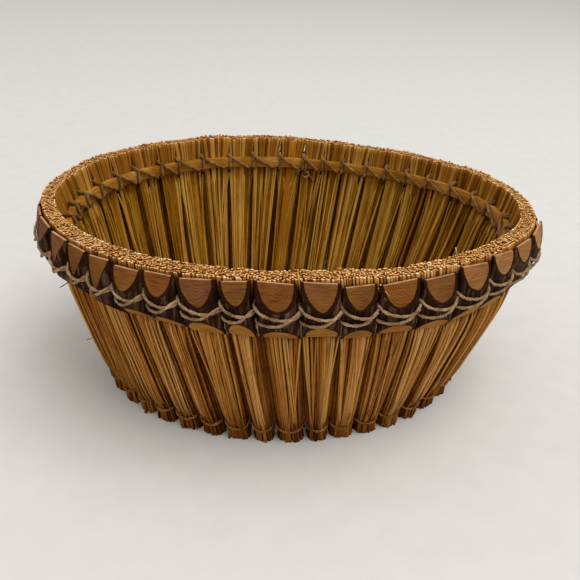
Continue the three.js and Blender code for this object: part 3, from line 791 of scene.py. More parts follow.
def spaced_row(rng, length, spacing, spread):
    """Places from -1 to 1 of things of uneven width set side by side, and their widths."""
    count = int(round(length / spacing))
    widths = rng.uniform(*spread, count)
    widths *= length / widths.sum()
    middles = np.cumsum(widths) - widths / 2
    return (middles - middles[0]) / (middles[-1] - middles[0]) * 2 - 1, widths


def stalk_row(*values):
    """Stalks as rows of place across, share of the depth, half width, half depth and kind."""
    return np.stack(np.broadcast_arrays(*values), -1)


def bundle_stalks(bundle, rng, sizes):
    """One bundle's stalks: an outer row, filled rows behind it and broad blades inside."""
    width = sizes.stalk_width / MM
    pitch = float(pitch_width(float(bundle), float(HEIGHT)))
    places, widths = spaced_row(rng, pitch, OUTER_SPACING, OUTER_SPREAD)
    rows = [stalk_row(places, 0.02, widths * 0.42, widths * 0.42, OUTER)]
    depths = int((RIM_THICKNESS - BLADE_THICKNESS) / (width * 0.9))
    for row in range(1, depths):
        count = int(round(pitch / width)) - row % 2
        places = np.linspace(-1, 1, count) + rng.normal(0, 0.018, count)
        half = width * 0.52 * rng.uniform(0.75, 1.2, count)
        depth = (row + 0.3) / depths * 0.94 + rng.normal(0, 0.012, count)
        rows.append(stalk_row(places, depth, half, half, CORE))
    places, widths = spaced_row(rng, pitch, BLADE_SPACING, BLADE_SPREAD)
    thick = BLADE_THICKNESS * rng.uniform(0.4, 0.62, len(places))
    rows.append(stalk_row(places, 0.965, widths * 0.47, thick, BLADE))
    return np.vstack(rows)


def side_gap(bundle, z, across, depth, gap):
    """Gap beside a bundle. It closes at the wall's mid-depth above the knee, but for the slits."""
    closed = CLOSED_GAP + (gap - CLOSED_GAP) * np.abs(depth) ** 2.5
    closed = gap + (closed - gap) * np.clip((z - KNEE_Z) / KNEE_HEIGHT, 0, 1)
    beside = np.where(across > 0, bundle + 1, bundle)
    for number, height, width in SLITS:
        slit = width * np.clip(1.6 - np.abs(z - height) / SLIT_REACH * 1.6, 0, 1)
        closed = np.where(beside == number, np.maximum(closed, slit), closed)
    return closed


def stalk_rings(bundle, rng, stalks, heights, lift, frays):
    """Middles, directions and half sizes of the rings of a batch of stalks of one bundle."""
    count = len(stalks)
    kind = stalks[:, 4]
    loose = np.select([kind == OUTER, kind == BLADE], [1.0, 0.45], 0.3)[:, None]
    tops = HEIGHT + lift + rng.normal(0, TOP_JITTER, count)
    z = np.broadcast_to(np.array(heights + (0.0,)), (count, len(heights) + 1)).copy()
    z[:, 0] = np.abs(rng.normal(0, 0.5, count))
    z[:, -1] = tops
    z[:, -2] = np.minimum(z[:, -2], tops - 1.0)
    high = np.clip((z - TIE_HEIGHT) / (HEIGHT - TIE_HEIGHT), 0, 1)

    def wander(*most):
        drawn = rng.normal(0, 1, (3, count, 1)) * np.reshape(most, (3, 1, 1))
        at_top, at_foot, between = loose * drawn
        return at_top * high + at_foot * (1 - high) + between * np.sin(math.pi * high)

    across = stalks[:, :1] + wander(TOP_WANDER, FOOT_WANDER, BOW)
    across = np.clip(across, -1.03, 1.03)
    uneven = np.where(kind == BLADE, BLADE_DEPTH_WANDER, OUTER_DEPTH_WANDER)[:, None]
    share = stalks[:, 1:2] + wander(1, 1, 0.6) * uneven * np.clip((HEIGHT - z) / 12, 0.25, 1)
    depth = 2 * share - 1
    inset, thickness, gap, roundness = level_values(z)
    across_round = across * np.sqrt(1 - 0.5 * roundness * np.clip(depth, -1, 1) ** 2)
    depth_round = depth * np.sqrt(1 - 0.5 * roundness * across ** 2)
    width = pitch_width(float(bundle), z)
    taper = 1 + TAPER * rng.normal(0, 1, (count, 1)) * (high - 0.5)
    tied = 1 - TIE_SQUEEZE * np.exp(-((z - TIE_HEIGHT) / TIE_REACH) ** 2)
    squeeze = tied * np.clip(taper, 0.7, 1.35)
    squeeze *= 1 + FOOT_SPREAD * np.clip(1 - z / TIE_HEIGHT, 0, 1)
    half_width = stalks[:, 2:3] * squeeze
    half_depth = stalks[:, 3:4] * squeeze
    room = 0.5 * (width - side_gap(bundle, z, across, depth, gap)) - half_width * 0.8
    place = bundle + 0.5 + across_round * room / width
    tuck = end_tuck(place, z)
    widened = np.clip((z - WIDENING_FROM) / WIDENING_HEIGHT, 0, 1)
    thickness = thickness + lift_at(CUT_WIDENING, place) * widened
    inward = inset + tuck + half_depth
    inward += (depth_round + 1) * 0.5 * (thickness - tuck - 2 * half_depth)
    spread = np.where(frays, rng.uniform(*FRAY_SPREAD, count), 0.0)[:, None]
    inward = inward - spread * np.clip(1 - z / FRAY_HEIGHT, 0, 1)
    return *wall_frame(place, z, inward), half_width, half_depth


def add_stalks(rings, sides, turns, tones, end_tones, inner, store):
    """Adds stalks to a run's lists, as tubes round their rings that a point closes at each end."""
    centres, normals, asides, half_width, half_depth = rings
    angle = np.arange(sides) / sides * 2 * math.pi + turns[:, None, None]
    level = ((0, 0), (0, 0), (0, 1))
    aside, outward = (np.pad(way, level)[:, :, None] for way in (asides, normals))
    tubes = (
        centres[:, :, None]
        + aside * (np.cos(angle) * half_width[..., None])[..., None]
        - outward * (np.sin(angle) * half_depth[..., None])[..., None]
    )
    count, per_stalk = len(tubes), tubes[0, ..., 0].size
    first = store["count"]
    side = np.arange(sides)
    beside = (side + 1) % sides
    foot = first + np.arange(count)[:, None] * per_stalk
    top = foot + per_stalk - sides
    top_middle = first + count * per_stalk + np.arange(count)[:, None]
    quads = tube_faces(count, half_width.shape[1], sides) + first
    store["faces"] += quads.tolist()
    for corners in ((top + side, top + beside, top_middle),
                    (foot + beside, foot + side, top_middle + count)):
        store["faces"] += np.stack(np.broadcast_arrays(*corners), -1).reshape(-1, 3).tolist()
    store["materials"] += [0] * len(quads) + [1] * (2 * count * sides)
    ends = [tubes[:, -1].mean(1) - [0, 0, END_DIP], tubes[:, 0].mean(1)]
    store["points"] += [tubes.reshape(-1, 3), *ends]
    store["count"] += count * (per_stalk + 2)
    rim, core = np.zeros(count), np.ones(count)
    for label, along, end in (
        ("tone", tones, end_tones), ("inner", inner, inner), ("core", rim, core),
    ):
        store[label] += [np.repeat(along, per_stalk), end, end]


def add_bundle(bundle, sizes, store):
    """One bundle's stalks, thin ones that stray across its faces, and those that stick out."""
    rng = np.random.default_rng(SEED * 1000 + bundle)
    stalks = bundle_stalks(bundle, rng, sizes)
    lift = rng.normal(0, 0.3)
    hue = rng.normal(0, 0.05)
    seen = (stalks[:, 4] != CORE) | (np.abs(stalks[:, 0]) > 0.86) | (stalks[:, 1] < 0.25)
    for batch, heights, sides in (
        (stalks[seen], VISIBLE_RINGS, 6), (stalks[~seen], HIDDEN_RINGS, 5),
    ):
        frays = (rng.uniform(0, 1, len(batch)) < FRAYED_SHARE) & (batch[:, 4] == OUTER)
        rings = stalk_rings(bundle, rng, batch, heights, lift, frays)
        turns = rng.uniform(0, 2 * math.pi, len(batch)) * (batch[:, 4] != BLADE)
        spread = np.where(batch[:, 4] == BLADE, 0.3, 0.21)
        end_tones = np.clip(0.5 + hue + rng.normal(0, spread), 0.02, 0.98)
        tones = np.where(batch[:, 4] == CORE, end_tones * DEEP_SHADE, end_tones)
        inner = np.clip((batch[:, 1] - 0.5) * 4, 0, 1)
        add_stalks(rings, sides, turns, tones, end_tones, inner, store)
    add_strays(bundle, rng, False, store)
    add_strays(bundle, rng, True, store)
    for number, across, half in GOLD_BLADES:
        if number == bundle:
            add_gold_blade(bundle, across, half, store)
    for end in LOOSE_ENDS:
        if int(end[0]) == bundle:
            add_loose_end(end, store)


def add_loose_end(end, store):
    """One stalk that sticks out of the wall, bent a little."""
    gap, z, inward, out, up, along, tone = end
    share = np.linspace(0, 1, 5)[None, :]
    half = LOOSE_HALF + 0 * share
    frames = wall_frame(gap, z + up * share, inward - out * share ** 1.4, along * share)
    tone = np.array([tone])
    add_stalks((*frames, half, half), 6, np.zeros(1), tone, tone, np.zeros(1), store)


def add_gold_blade(bundle, across, half, store):
    """A broad golden blade on the inner face, seen in the photograph."""
    z = np.array([GOLD_BLADE_RINGS])
    frames = wall_frame(bundle + 0.5 + across, z, inner_face(z) - 0.05)
    rings = (*frames, half + 0 * z, 0.45 + 0 * z)
    add_stalks(rings, 8, np.zeros(1), np.array([0.75]), np.array([0.5]), np.array([2.0]), store)


def add_strays(bundle, rng, inner, store):
    """Thin stalks that cross a face of a bundle on a slant, some to the next bundle."""
    count = STRAYS_PER_BUNDLE
    side = 1 if inner else -1
    low, high = STRAY_HEIGHTS[inner]
    z = np.broadcast_to(np.linspace(low, high, 11), (count, 11))
    foot = rng.uniform(-0.85, 0.85, count)[:, None]
    top = np.clip(foot + rng.normal(0, 0.62, (count, 1)), -1.25, 1.25)
    share = (z - low) / (high - low)
    across = foot + (top - foot) * share + rng.normal(0, 0.06, (count, 1)) * np.sin(math.pi * share)
    inset, thickness, gap, roundness = level_values(z)
    width = pitch_width(float(bundle), z)
    depth = side * np.sqrt(1 - 0.5 * roundness * np.clip(across, -1, 1) ** 2)
    place = bundle + 0.5 + across * np.sqrt(1 - 0.5 * roundness) * 0.5 * (width - gap) / width
    half = rng.uniform(0.34, 0.6, (count, 1)) * (1 + 0 * z)
    hidden = 1.8 * np.clip((low + 2.5 - z) / 3, 0, 1) + 1.2 * np.clip((z - high + 6) / 6, 0, 1)
    inward = inset + (depth + 1) * 0.5 * thickness + side * (half * 0.2 - hidden)
    tones = rng.uniform(0.3, 1.0, count)
    rings = (*wall_frame(place, z, inward), half, half)
    add_stalks(rings, 5, np.zeros(count), tones, tones, np.full(count, float(inner)), store)


def build_run(run, sizes, materials):
    """The stalks of one run of bundles that are pressed together at the rim."""
    labels = ("tone", "inner", "core")
    store = {key: [] for key in ("points", "faces", "materials", *labels)}
    store["count"] = 0
    for step in range(BUNDLES_PER_RUN):
        add_bundle(run * BUNDLES_PER_RUN + step, sizes, store)
    face_materials = np.array(store["materials"])
    make_piece(
        f"stalk_run_{run + 1}", np.vstack(store["points"]), store["faces"], materials,
        [f"stalk_bundles_{run + 1}"], "stalks",
        face_materials=face_materials, smooth=face_materials == 0,
        values={label: np.concatenate(store[label]) for label in labels},
    )


# Wood slips

def seen_place(index):
    """A slip's number counted from the middle of the front, to the left below 0."""
    return (index + BUNDLE_COUNT // 2) % BUNDLE_COUNT - BUNDLE_COUNT // 2


def slip_differences(index, wander, hue):
    """How a slip differs from the usual one: as seen in the photograph, or by chance."""
    first, seen = SEEN_SLIPS
    number = seen_place(index) - first
    if 0 <= number < len(seen):
        return seen[number]
    return SLIP_DROP + float(np.clip(wander, -0.6, 0.8)), 0.0, 0.0, 0.0, 0.0, hue


def slip_shape(index):
    """Measures of one slip."""
    rng = np.random.default_rng(SEED * 2000 + index % BUNDLE_COUNT)
    width = float(pitch_width(float(index), WAIST_Z)) - SLIP_GAP - rng.uniform(0, 0.6)
    drop, thicker, longer, slope, raised, hue = slip_differences(
        index, rng.normal(0, 0.45), rng.uniform(0, 0.7))
    wider = (width / SLIP_WIDTH) ** 0.5
    return {
        "half": width / 2,
        "top": HEIGHT - drop,
        "thickness": SLIP_THICKNESS * rng.uniform(0.92, 1.1) * wider + thicker,
        "upper": UPPER_BEVEL * rng.uniform(0.92, 1.08) + longer,
        "lower": LOWER_BEVEL * rng.uniform(0.8, 1.12),
        "bottom": SLIP_FOOT + rng.uniform(-1, 1),
        "upper_tilt": slope + rng.normal(0, 0.05),
        "lower_tilt": rng.normal(0, 0.08),
        "turned": float(np.interp(seen_place(index), *np.transpose(FACE_TURNS))),
        "aside": rng.normal(0, 0.15),
        "fullness": SLIP_FULLNESS * rng.uniform(0.93, 1.1),
        "hue": hue,
        "spin": rng.uniform(0, 100),
        "raised": raised,
    }


def slip_profile(shape, share):
    """Across and out at a share of the way round the slip's rounded front, 0 to 1."""
    angle = math.pi * (1 - share)
    power = 2 / shape["fullness"]
    across = shape["half"] * np.sign(np.cos(angle)) * np.abs(np.cos(angle)) ** power
    rise = shape["thickness"] - SLIP_EDGE
    return across, SLIP_EDGE + rise * np.abs(np.sin(angle)) ** power


def slip_ends(shape, across, out):
    """Heights of the slanting cuts at the top and the bottom of a slip."""
    rise = shape["thickness"] - SLIP_EDGE
    depth = 1 - shape["turned"] * across / shape["half"]
    top = shape["top"] - shape["upper"] * depth * np.clip(out - SLIP_EDGE, 0, None) / rise
    bottom = shape["bottom"] + shape["lower"] * out / shape["thickness"]
    return top + shape["upper_tilt"] * across, bottom + shape["lower_tilt"] * across


def slip_grid(index, shape, across, out, z):
    """Wall points of a grid of places on a slip, and the same places inside its twig."""
    neck = 1 - SLIP_NECK * np.clip(1 - (shape["top"] - z) / SLIP_NECK_LENGTH, 0, 1)
    back = end_tuck(index + 0.5, z) - SLIP_BACK
    points = wall_point(index + 0.5, z, back - out, across * neck + shape["aside"])
    share = np.clip(out - SLIP_EDGE, 0, None) / (shape["thickness"] - SLIP_EDGE)
    twig = np.broadcast_arrays(across / shape["half"], share, shape["spin"])
    return points.reshape(-1, 3), np.stack(twig, -1).reshape(-1, 3)


def build_slip(index, materials):
    """One half-round piece of twig, both ends cut on the slant."""
    rng = np.random.default_rng(SEED * 2500 + index)
    shape = slip_shape(index)
    across, out = slip_profile(shape, np.linspace(0, 1, SLIP_COLUMNS))
    across = np.concatenate([across[:1], across, across[-1:]])
    out = np.concatenate([[0], out, [0]])
    top, bottom = slip_ends(shape, across, out)
    back_top, back_bottom = slip_ends(shape, across, 0 * out)
    knobs = rng.normal(0, 0.06, (SLIP_ROWS, len(across)))
    knobs[0] = knobs[-1] = 0
    knobs[:, 0] = knobs[:, -1] = 0
    level = np.linspace(0, 1, SLIP_ROWS)[:, None]
    step = np.linspace(0, 1, 5)[:, None]
    edge = np.minimum(out, SLIP_EDGE)
    slant = edge + (out - edge) * step
    # Bark, flat top, upper cut, lower cut and back, each with the number of its material
    grids = (
        (bottom + (top - bottom) * level, out + knobs, 0),
        (slip_ends(shape, across, edge * step)[0], edge * step, 2),
        (slip_ends(shape, across, slant)[0], slant, 1),
        (slip_ends(shape, across, out * (1 - step))[1], out * (1 - step), 3),
        (back_top + (back_bottom - back_top) * step, 0 * slant, 0),
    )
    points, twigs, faces, kinds = [], [], [], []
    first = 0
    for z, grid_out, kind in grids:
        grid_points, twig = slip_grid(index, shape, across, grid_out, z)
        rows, columns = z.shape
        corner = first + np.arange(rows - 1)[:, None] * columns + np.arange(columns - 1)
        quads = np.stack([corner, corner + 1, corner + columns + 1, corner + columns], -1)
        faces += quads.reshape(-1, 4).tolist()
        kinds += [kind] * corner.size
        points.append(grid_points)
        twigs.append(twig)
        first += z.size
    piece = make_piece(
        f"twig_slip_{index + 1:02d}", np.vstack(points), faces, materials,
        [f"wood_slip_{index + 1:02d}"], "wood_slip",
        face_materials=kinds,
        values={"twig": np.vstack(twigs), "hue": np.full(first, shape["hue"])},
    )
    close_seams(piece, SLIP_SEAM)
    soften_edges(piece)


def close_seams(piece, distance):
    """Joins touching points, drops faces without area and marks sharp edges."""
    mesh = bmesh.new()
    mesh.from_mesh(piece.data)
    bmesh.ops.remove_doubles(mesh, verts=mesh.verts, dist=distance * MM)
    bmesh.ops.dissolve_degenerate(mesh, edges=mesh.edges, dist=distance * MM)
    bmesh.ops.recalc_face_normals(mesh, faces=mesh.faces)
    mesh.to_mesh(piece.data)
    mesh.free()
    piece.data.set_sharp_from_angle(angle=CREASE)


def soften_edges(piece):
    """Takes the sharpness off the cut edges."""
    bevel = piece.modifiers.new("worn_edges", "BEVEL")
    bevel.width = WORN_EDGE * MM
    bevel.segments = 2
    bevel.limit_method = "ANGLE"
    bevel.angle_limit = CREASE


# Lashings

def rim_lashing_points(diameter):
    """Turning points of the rim lashing, worked from right to left, one cell per bundle."""
    radius = diameter / 2
    high = HOOP_Z + HOOP_HEIGHT / 2 + radius
    low = HOOP_Z - HOOP_HEIGHT / 2 - radius
    before = HOOP_GAP + HOOP_THICKNESS + radius * LOOSE_TWINE
    beside = diameter * LOOSE_TWINE
    points = []

    def inside(gap, z, depth, along=0.0):
        points.append(wall_point(gap, z, inner_face(z) + depth, along))

    def between(gap, height, depth, along=0.0):
        points.append(wall_point(gap, WAIST_Z + height, depth, along))

    # The first turn stands beside the last one, so that two cross the hoop there
    for z, depth in ((low - 3.5, before - 1.4), (low + radius, before), (HOOP_Z, before),
                     (high - radius, before), (high + 0.2, before * 0.5)):
        inside(KNOT_GAP, z, depth, -beside)
    inside(KNOT_GAP, high, -2.0, -beside * 0.3)
    for step in range(1, BUNDLE_COUNT + 1):
        cell = KNOT_GAP - step
        inside(cell + 1, low, -2.0)
        between(cell + 1, FALLING_STRAND[-1][1], 2.2, -0.2)
        points.extend(strand_over(cell, FALLING_STRAND, radius, False)[::-1])
        between(cell, FALLING_STRAND[0][1], 2.2, 0.2)
        for z, depth in ((high + 0.3, -2.0), (high + 0.2, before * 0.6),
                         (high - radius * 1.2, before), (HOOP_Z, before),
                         (low + radius * 1.2, before), (low - 0.2, before * 0.6),
                         (low - 0.3, -2.0)):
            inside(cell, z, depth)
        between(cell, RISE_FROM * 0.8, 4.0)
        between(cell, RISE_FROM, 0.6)
        between(cell, RISE_FROM * 0.6, -0.8)
        between(cell, RISING_STRAND[0][1] - 1.0, -0.4)
        points.extend(strand_over(cell, RISING_STRAND, radius, True))
        between(cell + 1, RISING_STRAND[-1][1], 2.2, -0.2)
        inside(cell + 1, high + PASS_STEP, -2.0)
        inside(cell + 1, high + PASS_STEP * 0.7, before * 0.7, beside * 0.2)
        inside(cell + 1, high - radius, before + radius * 0.9, -beside * 0.9)
        inside(cell + SLANT_END + 0.04, low + radius * 1.3, before)
        inside(cell + SLANT_END - 0.02, low - 0.1, before * 0.5)
        inside(cell + SLANT_END * 0.5, low, -0.5)
    inside(KNOT_GAP, low - 1.5, before * 0.8, beside)
    inside(KNOT_GAP, low - 5, before * 0.8, beside * 1.5)
    return points


def strand_over(cell, heights, radius, on_top):
    """A strand across one slip, from left to right. One of the two crosses over the other."""
    shape = slip_shape(cell)
    across, out = slip_profile(shape, np.linspace(0, 1, 13))
    side = across / shape["half"]
    share = (side + 1) / 2
    z = WAIST_Z + shape["raised"] + np.interp(share, *np.transpose(heights))
    crossing = np.exp(-((share - CROSSING) / CROSSING_WIDTH) ** 2) if on_top else 0 * share
    lift = radius * (0.95 + 1.3 * crossing)
    place = across + lift * side * np.abs(side) + shape["aside"]
    back = end_tuck(cell + 0.5, z) - SLIP_BACK
    return list(wall_point(cell + 0.5, z, back - out - lift * (1 - side ** 6), place))


def foot_lashing_points(diameter, first_outside):
    """Turning points of one half of the foot cord, which weaves before and behind bundles."""
    radius = diameter / 2
    over = TIE_HEIGHT + FLOOR_HOOP_HEIGHT / 2 + radius
    under = TIE_HEIGHT - FLOOR_HOOP_HEIGHT / 2 - radius
    behind = FLOOR_CLEARANCE + FLOOR_HOOP_THICKNESS + radius
    inset, thickness, gap, _ = level_values(TIE_HEIGHT)
    turn = np.linspace(0.04, 0.96, 9) * math.pi
    points = []
    for cell in range(BUNDLE_COUNT):
        if (cell % 2 == 0) == first_outside:
            room = 0.5 * (1 - gap / pitch_width(float(cell), TIE_HEIGHT))
            place = cell + 0.5 - room * np.cos(turn)
            inward = inset + 0.5 * thickness * (1 - np.sin(turn)) - radius * 0.6 * np.sin(turn)
            z = TIE_HEIGHT + FOOT_CORD_SLANT * (turn / math.pi - 0.5)
            z = z + FOOT_CORD_RISE * np.abs(np.cos(turn)) ** 3
            points.extend(wall_point(place, z, inward, -radius * 0.6 * np.cos(turn)))
            continue
        for step, z, depth in ((0, over, -2), (0.12, over, behind * 0.8), (0.5, TIE_HEIGHT, behind),
                               (0.88, under, behind * 0.8), (1, under, -2)):
            points.append(wall_point(cell + step, z, inner_face(z) + depth))
    return points


def inside_wall(points):
    """1 for points within the rim's middle line, 0 for those outside it."""
    half_x, half_y = (RIM_LENGTH - RIM_THICKNESS) / 2, (RIM_WIDTH - RIM_THICKNESS) / 2
    reach = np.hypot((points[:, 0] - CENTRE_SHIFT) / half_x, points[:, 1] / half_y)
    return (reach < 1).astype(float)


def knot_points(diameter):
    """A small overhand knot and its tail below the hoop, seen from inside."""
    base_z = HOOP_Z - HOOP_HEIGHT / 2 - diameter
    turns = np.linspace(0, 2.6 * math.pi, 22)
    along = -3.0 - 2.4 * np.cos(turns)
    z = base_z - 2.2 + 1.9 * np.sin(turns)
    depth = 2.6 + 0.9 * np.sin(turns * 1.5)
    loop = wall_point(KNOT_GAP, z, inner_face(z) + depth, along)
    tail_z = base_z - np.array([3.6, 5.0, 6.6, 7.4])
    tail = wall_point(KNOT_GAP, tail_z, inner_face(tail_z) + 1.6, [-6.5, -8.2, -9.4, -9.8])
    return np.vstack([loop, tail])


def build_cord(name, turning_points, step, diameter, lay, material, node, slot):
    """A two-ply cord on a smooth path. Within the wall it lies looser, if it has room there."""
    path = smooth_path(turning_points, step)
    loose = float(slot == "twine")
    widths = diameter * (1 + (LOOSE_TWINE - 1) * loose * inside_wall(path))
    points, faces, way = twisted_cord(path, widths, lay)
    # The rim twine within the wall also gets painted shade; the foot cord gets none
    make_piece(name, points, faces, [material], [node], slot,
               values={"way": way, "twine_shade_share": loose * inside_wall(points)})


# Hoops, stays and mat

def hoop_rings(centre_z, height, thickness, gap, rng, steps):
    """Rings of a flat strip bent round the wall's inner face, its corners rounded."""
    outline = []
    for sign_in, sign_up, start in ((1, 1, 0), (-1, 1, 90), (-1, -1, 180), (1, -1, 270)):
        for turn in (0, 45, 90):
            angle = math.radians(start + turn)
            depth = thickness / 2 + sign_in * (thickness / 2 - HOOP_CORNER)
            up = sign_up * (height / 2 - HOOP_CORNER) + HOOP_CORNER * math.sin(angle)
            outline.append((depth + HOOP_CORNER * math.cos(angle), up))
    outline = np.array(outline)
    places = np.arange(steps) / steps * BUNDLE_COUNT
    waves = sum(
        rng.normal(0, 0.12) * np.sin(k * places / BUNDLE_COUNT * 2 * math.pi + rng.uniform(0, 6.3))
        for k in range(3, 30)
    )
    z = centre_z + outline[None, :, 1] * (1 + 0.02 * waves[:, None]) + 0.12 * waves[:, None]
    depth = outline[None, :, 0] * (1 + 0.05 * waves[:, None])
    return wall_point(places[:, None], z, inner_face(centre_z) + gap + depth)


def build_hoop(name, node, centre_z, height, thickness, gap, material, seed):
    """A cane strip bent to a closed hoop."""
    rng = np.random.default_rng(SEED * 3000 + seed)
    rings = BUNDLE_COUNT * 8
    points = hoop_rings(centre_z, height, thickness, gap, rng, rings)
    sides = points.shape[1]
    here = np.arange(rings)[:, None] * sides
    ahead = (here + sides) % (rings * sides)
    side = np.arange(sides)
    beside = (side + 1) % sides
    quads = np.stack([here + side, ahead + side, ahead + beside, here + beside], -1)
    piece = make_piece(name, points.reshape(-1, 3), quads.reshape(-1, 4).tolist(), [material],
                       [node], "cane")
    piece.data.set_sharp_from_angle(angle=HOOP_CREASE)


def weave_strip(axis, offset, reach, phase, rng, store):
    """One flat strip that goes over and under the strips that cross it."""
    steps = max(8, int(2 * reach / 1.4))
    way = np.linspace(-reach, reach, steps)
    wave = np.cos(math.pi * (way / STRIP_STEP + phase))
    z = MAT_Z + 1.0 + wave * STRIP_THICKNESS * 0.75
    bend = rng.normal(0, 0.15) + 0.15 * np.sin(way / 23 + rng.uniform(0, 6.3))
    profile = np.array(STRIP_PROFILE)
    across = offset + bend[:, None] + profile[None, :, 0] * STRIP_WIDTH * 0.48
    height = z[:, None] + profile[None, :, 1] * STRIP_THICKNESS
    along = np.broadcast_to(way[:, None], across.shape)
    points = np.stack([across, along, height] if axis else [along, across, height], -1)
    faces = closed_tube(steps, len(profile), store["count"])
    store["faces"] += faces if axis else [face[::-1] for face in faces]
    store["points"].append(points.reshape(-1, 3))
    store["tone"].append(np.full(across.size, rng.uniform(0.1, 0.95)))
    grain = np.stack([along / 9, across * 3.2, np.full_like(along, rng.uniform(0, 50))], -1)
    store["grain"].append(grain.reshape(-1, 3))
    store["count"] += across.size


def build_mat(material):
    """The woven floor, trimmed to the oval between the bundles."""
    rng = np.random.default_rng(SEED * 4000)
    store = {"points": [], "faces": [], "tone": [], "grain": [], "count": 0}
    places = np.linspace(0, BUNDLE_COUNT, 421)
    half = np.abs(wall_point(places, MAT_Z, inner_face(MAT_Z) + MAT_CLEARANCE)).max(0)
    for axis in (0, 1):
        count = int((half[1 - axis] - STRIP_WIDTH / 2) / STRIP_STEP)
        for number in range(-count, count + 1):
            offset = number * STRIP_STEP
            edge = (abs(offset) + STRIP_WIDTH / 2) / half[1 - axis]
            reach = half[axis] * math.sqrt(max(0, 1 - edge ** 2))
            if reach > LEAST_STRIP:
                weave_strip(axis, offset, reach, (number + axis) % 2, rng, store)
    make_piece("woven_floor", np.vstack(store["points"]), store["faces"], [material],
               ["floor_mat"], "matting",
               values={"tone": np.concatenate(store["tone"]), "grain": np.vstack(store["grain"])})


def build_stay(number, material):
    """A flat split stay across the foot hoop, under the woven floor."""
    step = (number - (STAY_COUNT - 1) / 2) * STAY_STEP
    z = TIE_HEIGHT + FLOOR_HOOP_HEIGHT / 2 + FLOOR_CLEARANCE
    inward = inner_face(z) + FLOOR_HOOP_THICKNESS * 0.4
    front = wall_point(step - 0.5, z, inward)
    back = wall_point(BUNDLE_COUNT // 2 - 0.5 - step, z, inward)
    direction = (back - front) / np.linalg.norm(back - front)
    across = np.array([direction[1], -direction[0], 0])
    rng = np.random.default_rng(SEED * 5000 + number)
    profile = np.array(STAY_PROFILE)
    steps = 24
    way = np.linspace(0, 1, steps)[:, None]
    wander = 0.35 * np.sin(way * 5 + rng.uniform(0, 6))
    side = profile[None, :, 0] * STAY_WIDTH / 2 * (1 + 0.05 * np.sin(way * 9)) + wander
    points = (front + (back - front) * way)[:, None, :] + side[..., None] * across
    points[..., 2] = z + profile[None, :, 1] * (STAY_THICKNESS - FLOOR_CLEARANCE)
    piece = make_piece(f"split_stay_{number + 1}", points.reshape(-1, 3),
                       closed_tube(steps, len(profile)), [material],
                       [f"floor_stay_{number + 1}"], "cane")
    close_seams(piece, STAY_SEAM)


# Stage

def build_floor(colours):
    """A wide pale floor that turns up into a backdrop far behind."""
    profile = [(-FLOOR_REACH, 0.0), (BACKDROP_Y, 0.0)]
    for turn in range(1, 13):
        angle = math.radians(turn * 7.5)
        profile.append((BACKDROP_Y + BACKDROP_BEND * math.sin(angle),
                        BACKDROP_BEND * (1 - math.cos(angle))))
    profile.append((BACKDROP_Y + BACKDROP_BEND, BACKDROP_HEIGHT))
    mesh = bpy.data.meshes.new("studio_floor")
    points = [(side * FLOOR_REACH, y, z) for y, z in profile for side in (-1, 1)]
    faces = [(2 * i, 2 * i + 1, 2 * i + 3, 2 * i + 2) for i in range(len(profile) - 1)]
    mesh.from_pydata(points, [], faces)
    mesh.polygons.foreach_set("use_smooth", [True] * len(faces))
    shader = Shader("studio_floor", 0.9, colours)
    grain = shader.noise((60, 60, 60))
    dull = tuple(0.96 * share for share in colours.floor)
    mesh.materials.append(shader.finish(shader.ramp(grain, (0.3, dull), (0.7, "floor"))))
    floor = bpy.data.objects.new("studio_floor", mesh)
    bpy.context.scene.collection.objects.link(floor)


def put_in_scene(name, data, place, right, up, forward):
    """Adds a camera or a lamp that looks forward from its place."""
    thing = bpy.data.objects.new(name, data)
    matrix = np.eye(4)
    matrix[:3] = np.stack([right, up, -forward, place], -1)
    thing.matrix_world = Matrix(matrix.tolist())
    bpy.context.scene.collection.objects.link(thing)
    return thing


def build_camera():
    """The photograph's camera."""
    data = bpy.data.cameras.new("photo_camera")
    data.sensor_width = SENSOR
    data.lens = CAMERA_FOCUS / PHOTO_SIZE * SENSOR
    data.clip_start = 0.01
    data.clip_end = 50
    forward, right, up = camera_axes()
    place = np.array(CAMERA_PLACE) * MM
    bpy.context.scene.camera = put_in_scene("photo_camera", data, place, right, up, forward)


def build_lamp():
    """A large soft lamp above and to the right of the camera."""
    data = bpy.data.lights.new("key_lamp", "AREA")
    data.shape = "SQUARE"
    data.size = LAMP_SIZE
    data.energy = LAMP_POWER
    forward = np.array(LAMP_TARGET) - np.array(LAMP_PLACE)
    forward = forward / np.linalg.norm(forward)
    right = np.cross(forward, (0, 0, 1.0))
    right /= np.linalg.norm(right)
    put_in_scene("key_lamp", data, LAMP_PLACE, right, np.cross(right, forward), forward)


def build_world():
    """Even warm white light from all sides."""
    world = bpy.data.worlds.new("studio")
    world.use_nodes = True
    background = world.node_tree.nodes["Background"]
    background.inputs["Color"].default_value = WORLD_COLOUR
    background.inputs["Strength"].default_value = WORLD_STRENGTH
    bpy.context.scene.world = world
    bpy.context.scene.view_settings.view_transform = "Standard"


# Settings, operators and panel

def length_setting(name, description, default):
    return bpy.props.FloatProperty(
        name=name, description=description, default=default * MM, min=0.0001,
        unit="LENGTH", subtype="DISTANCE",
    )


def colour_setting(label, red, green, blue, description):
    """A colour setting with its default in 0 to 255 sRGB."""
    shares = (red / 255, green / 255, blue / 255)
    linear = [s / 12.92 if s <= 0.04045 else ((s + 0.055) / 1.055) ** 2.4 for s in shares]
    return bpy.props.FloatVectorProperty(
        name=label.replace("_", " ").title(), description=description, default=linear,
        size=3, min=0, max=1, subtype="COLOR",
    )


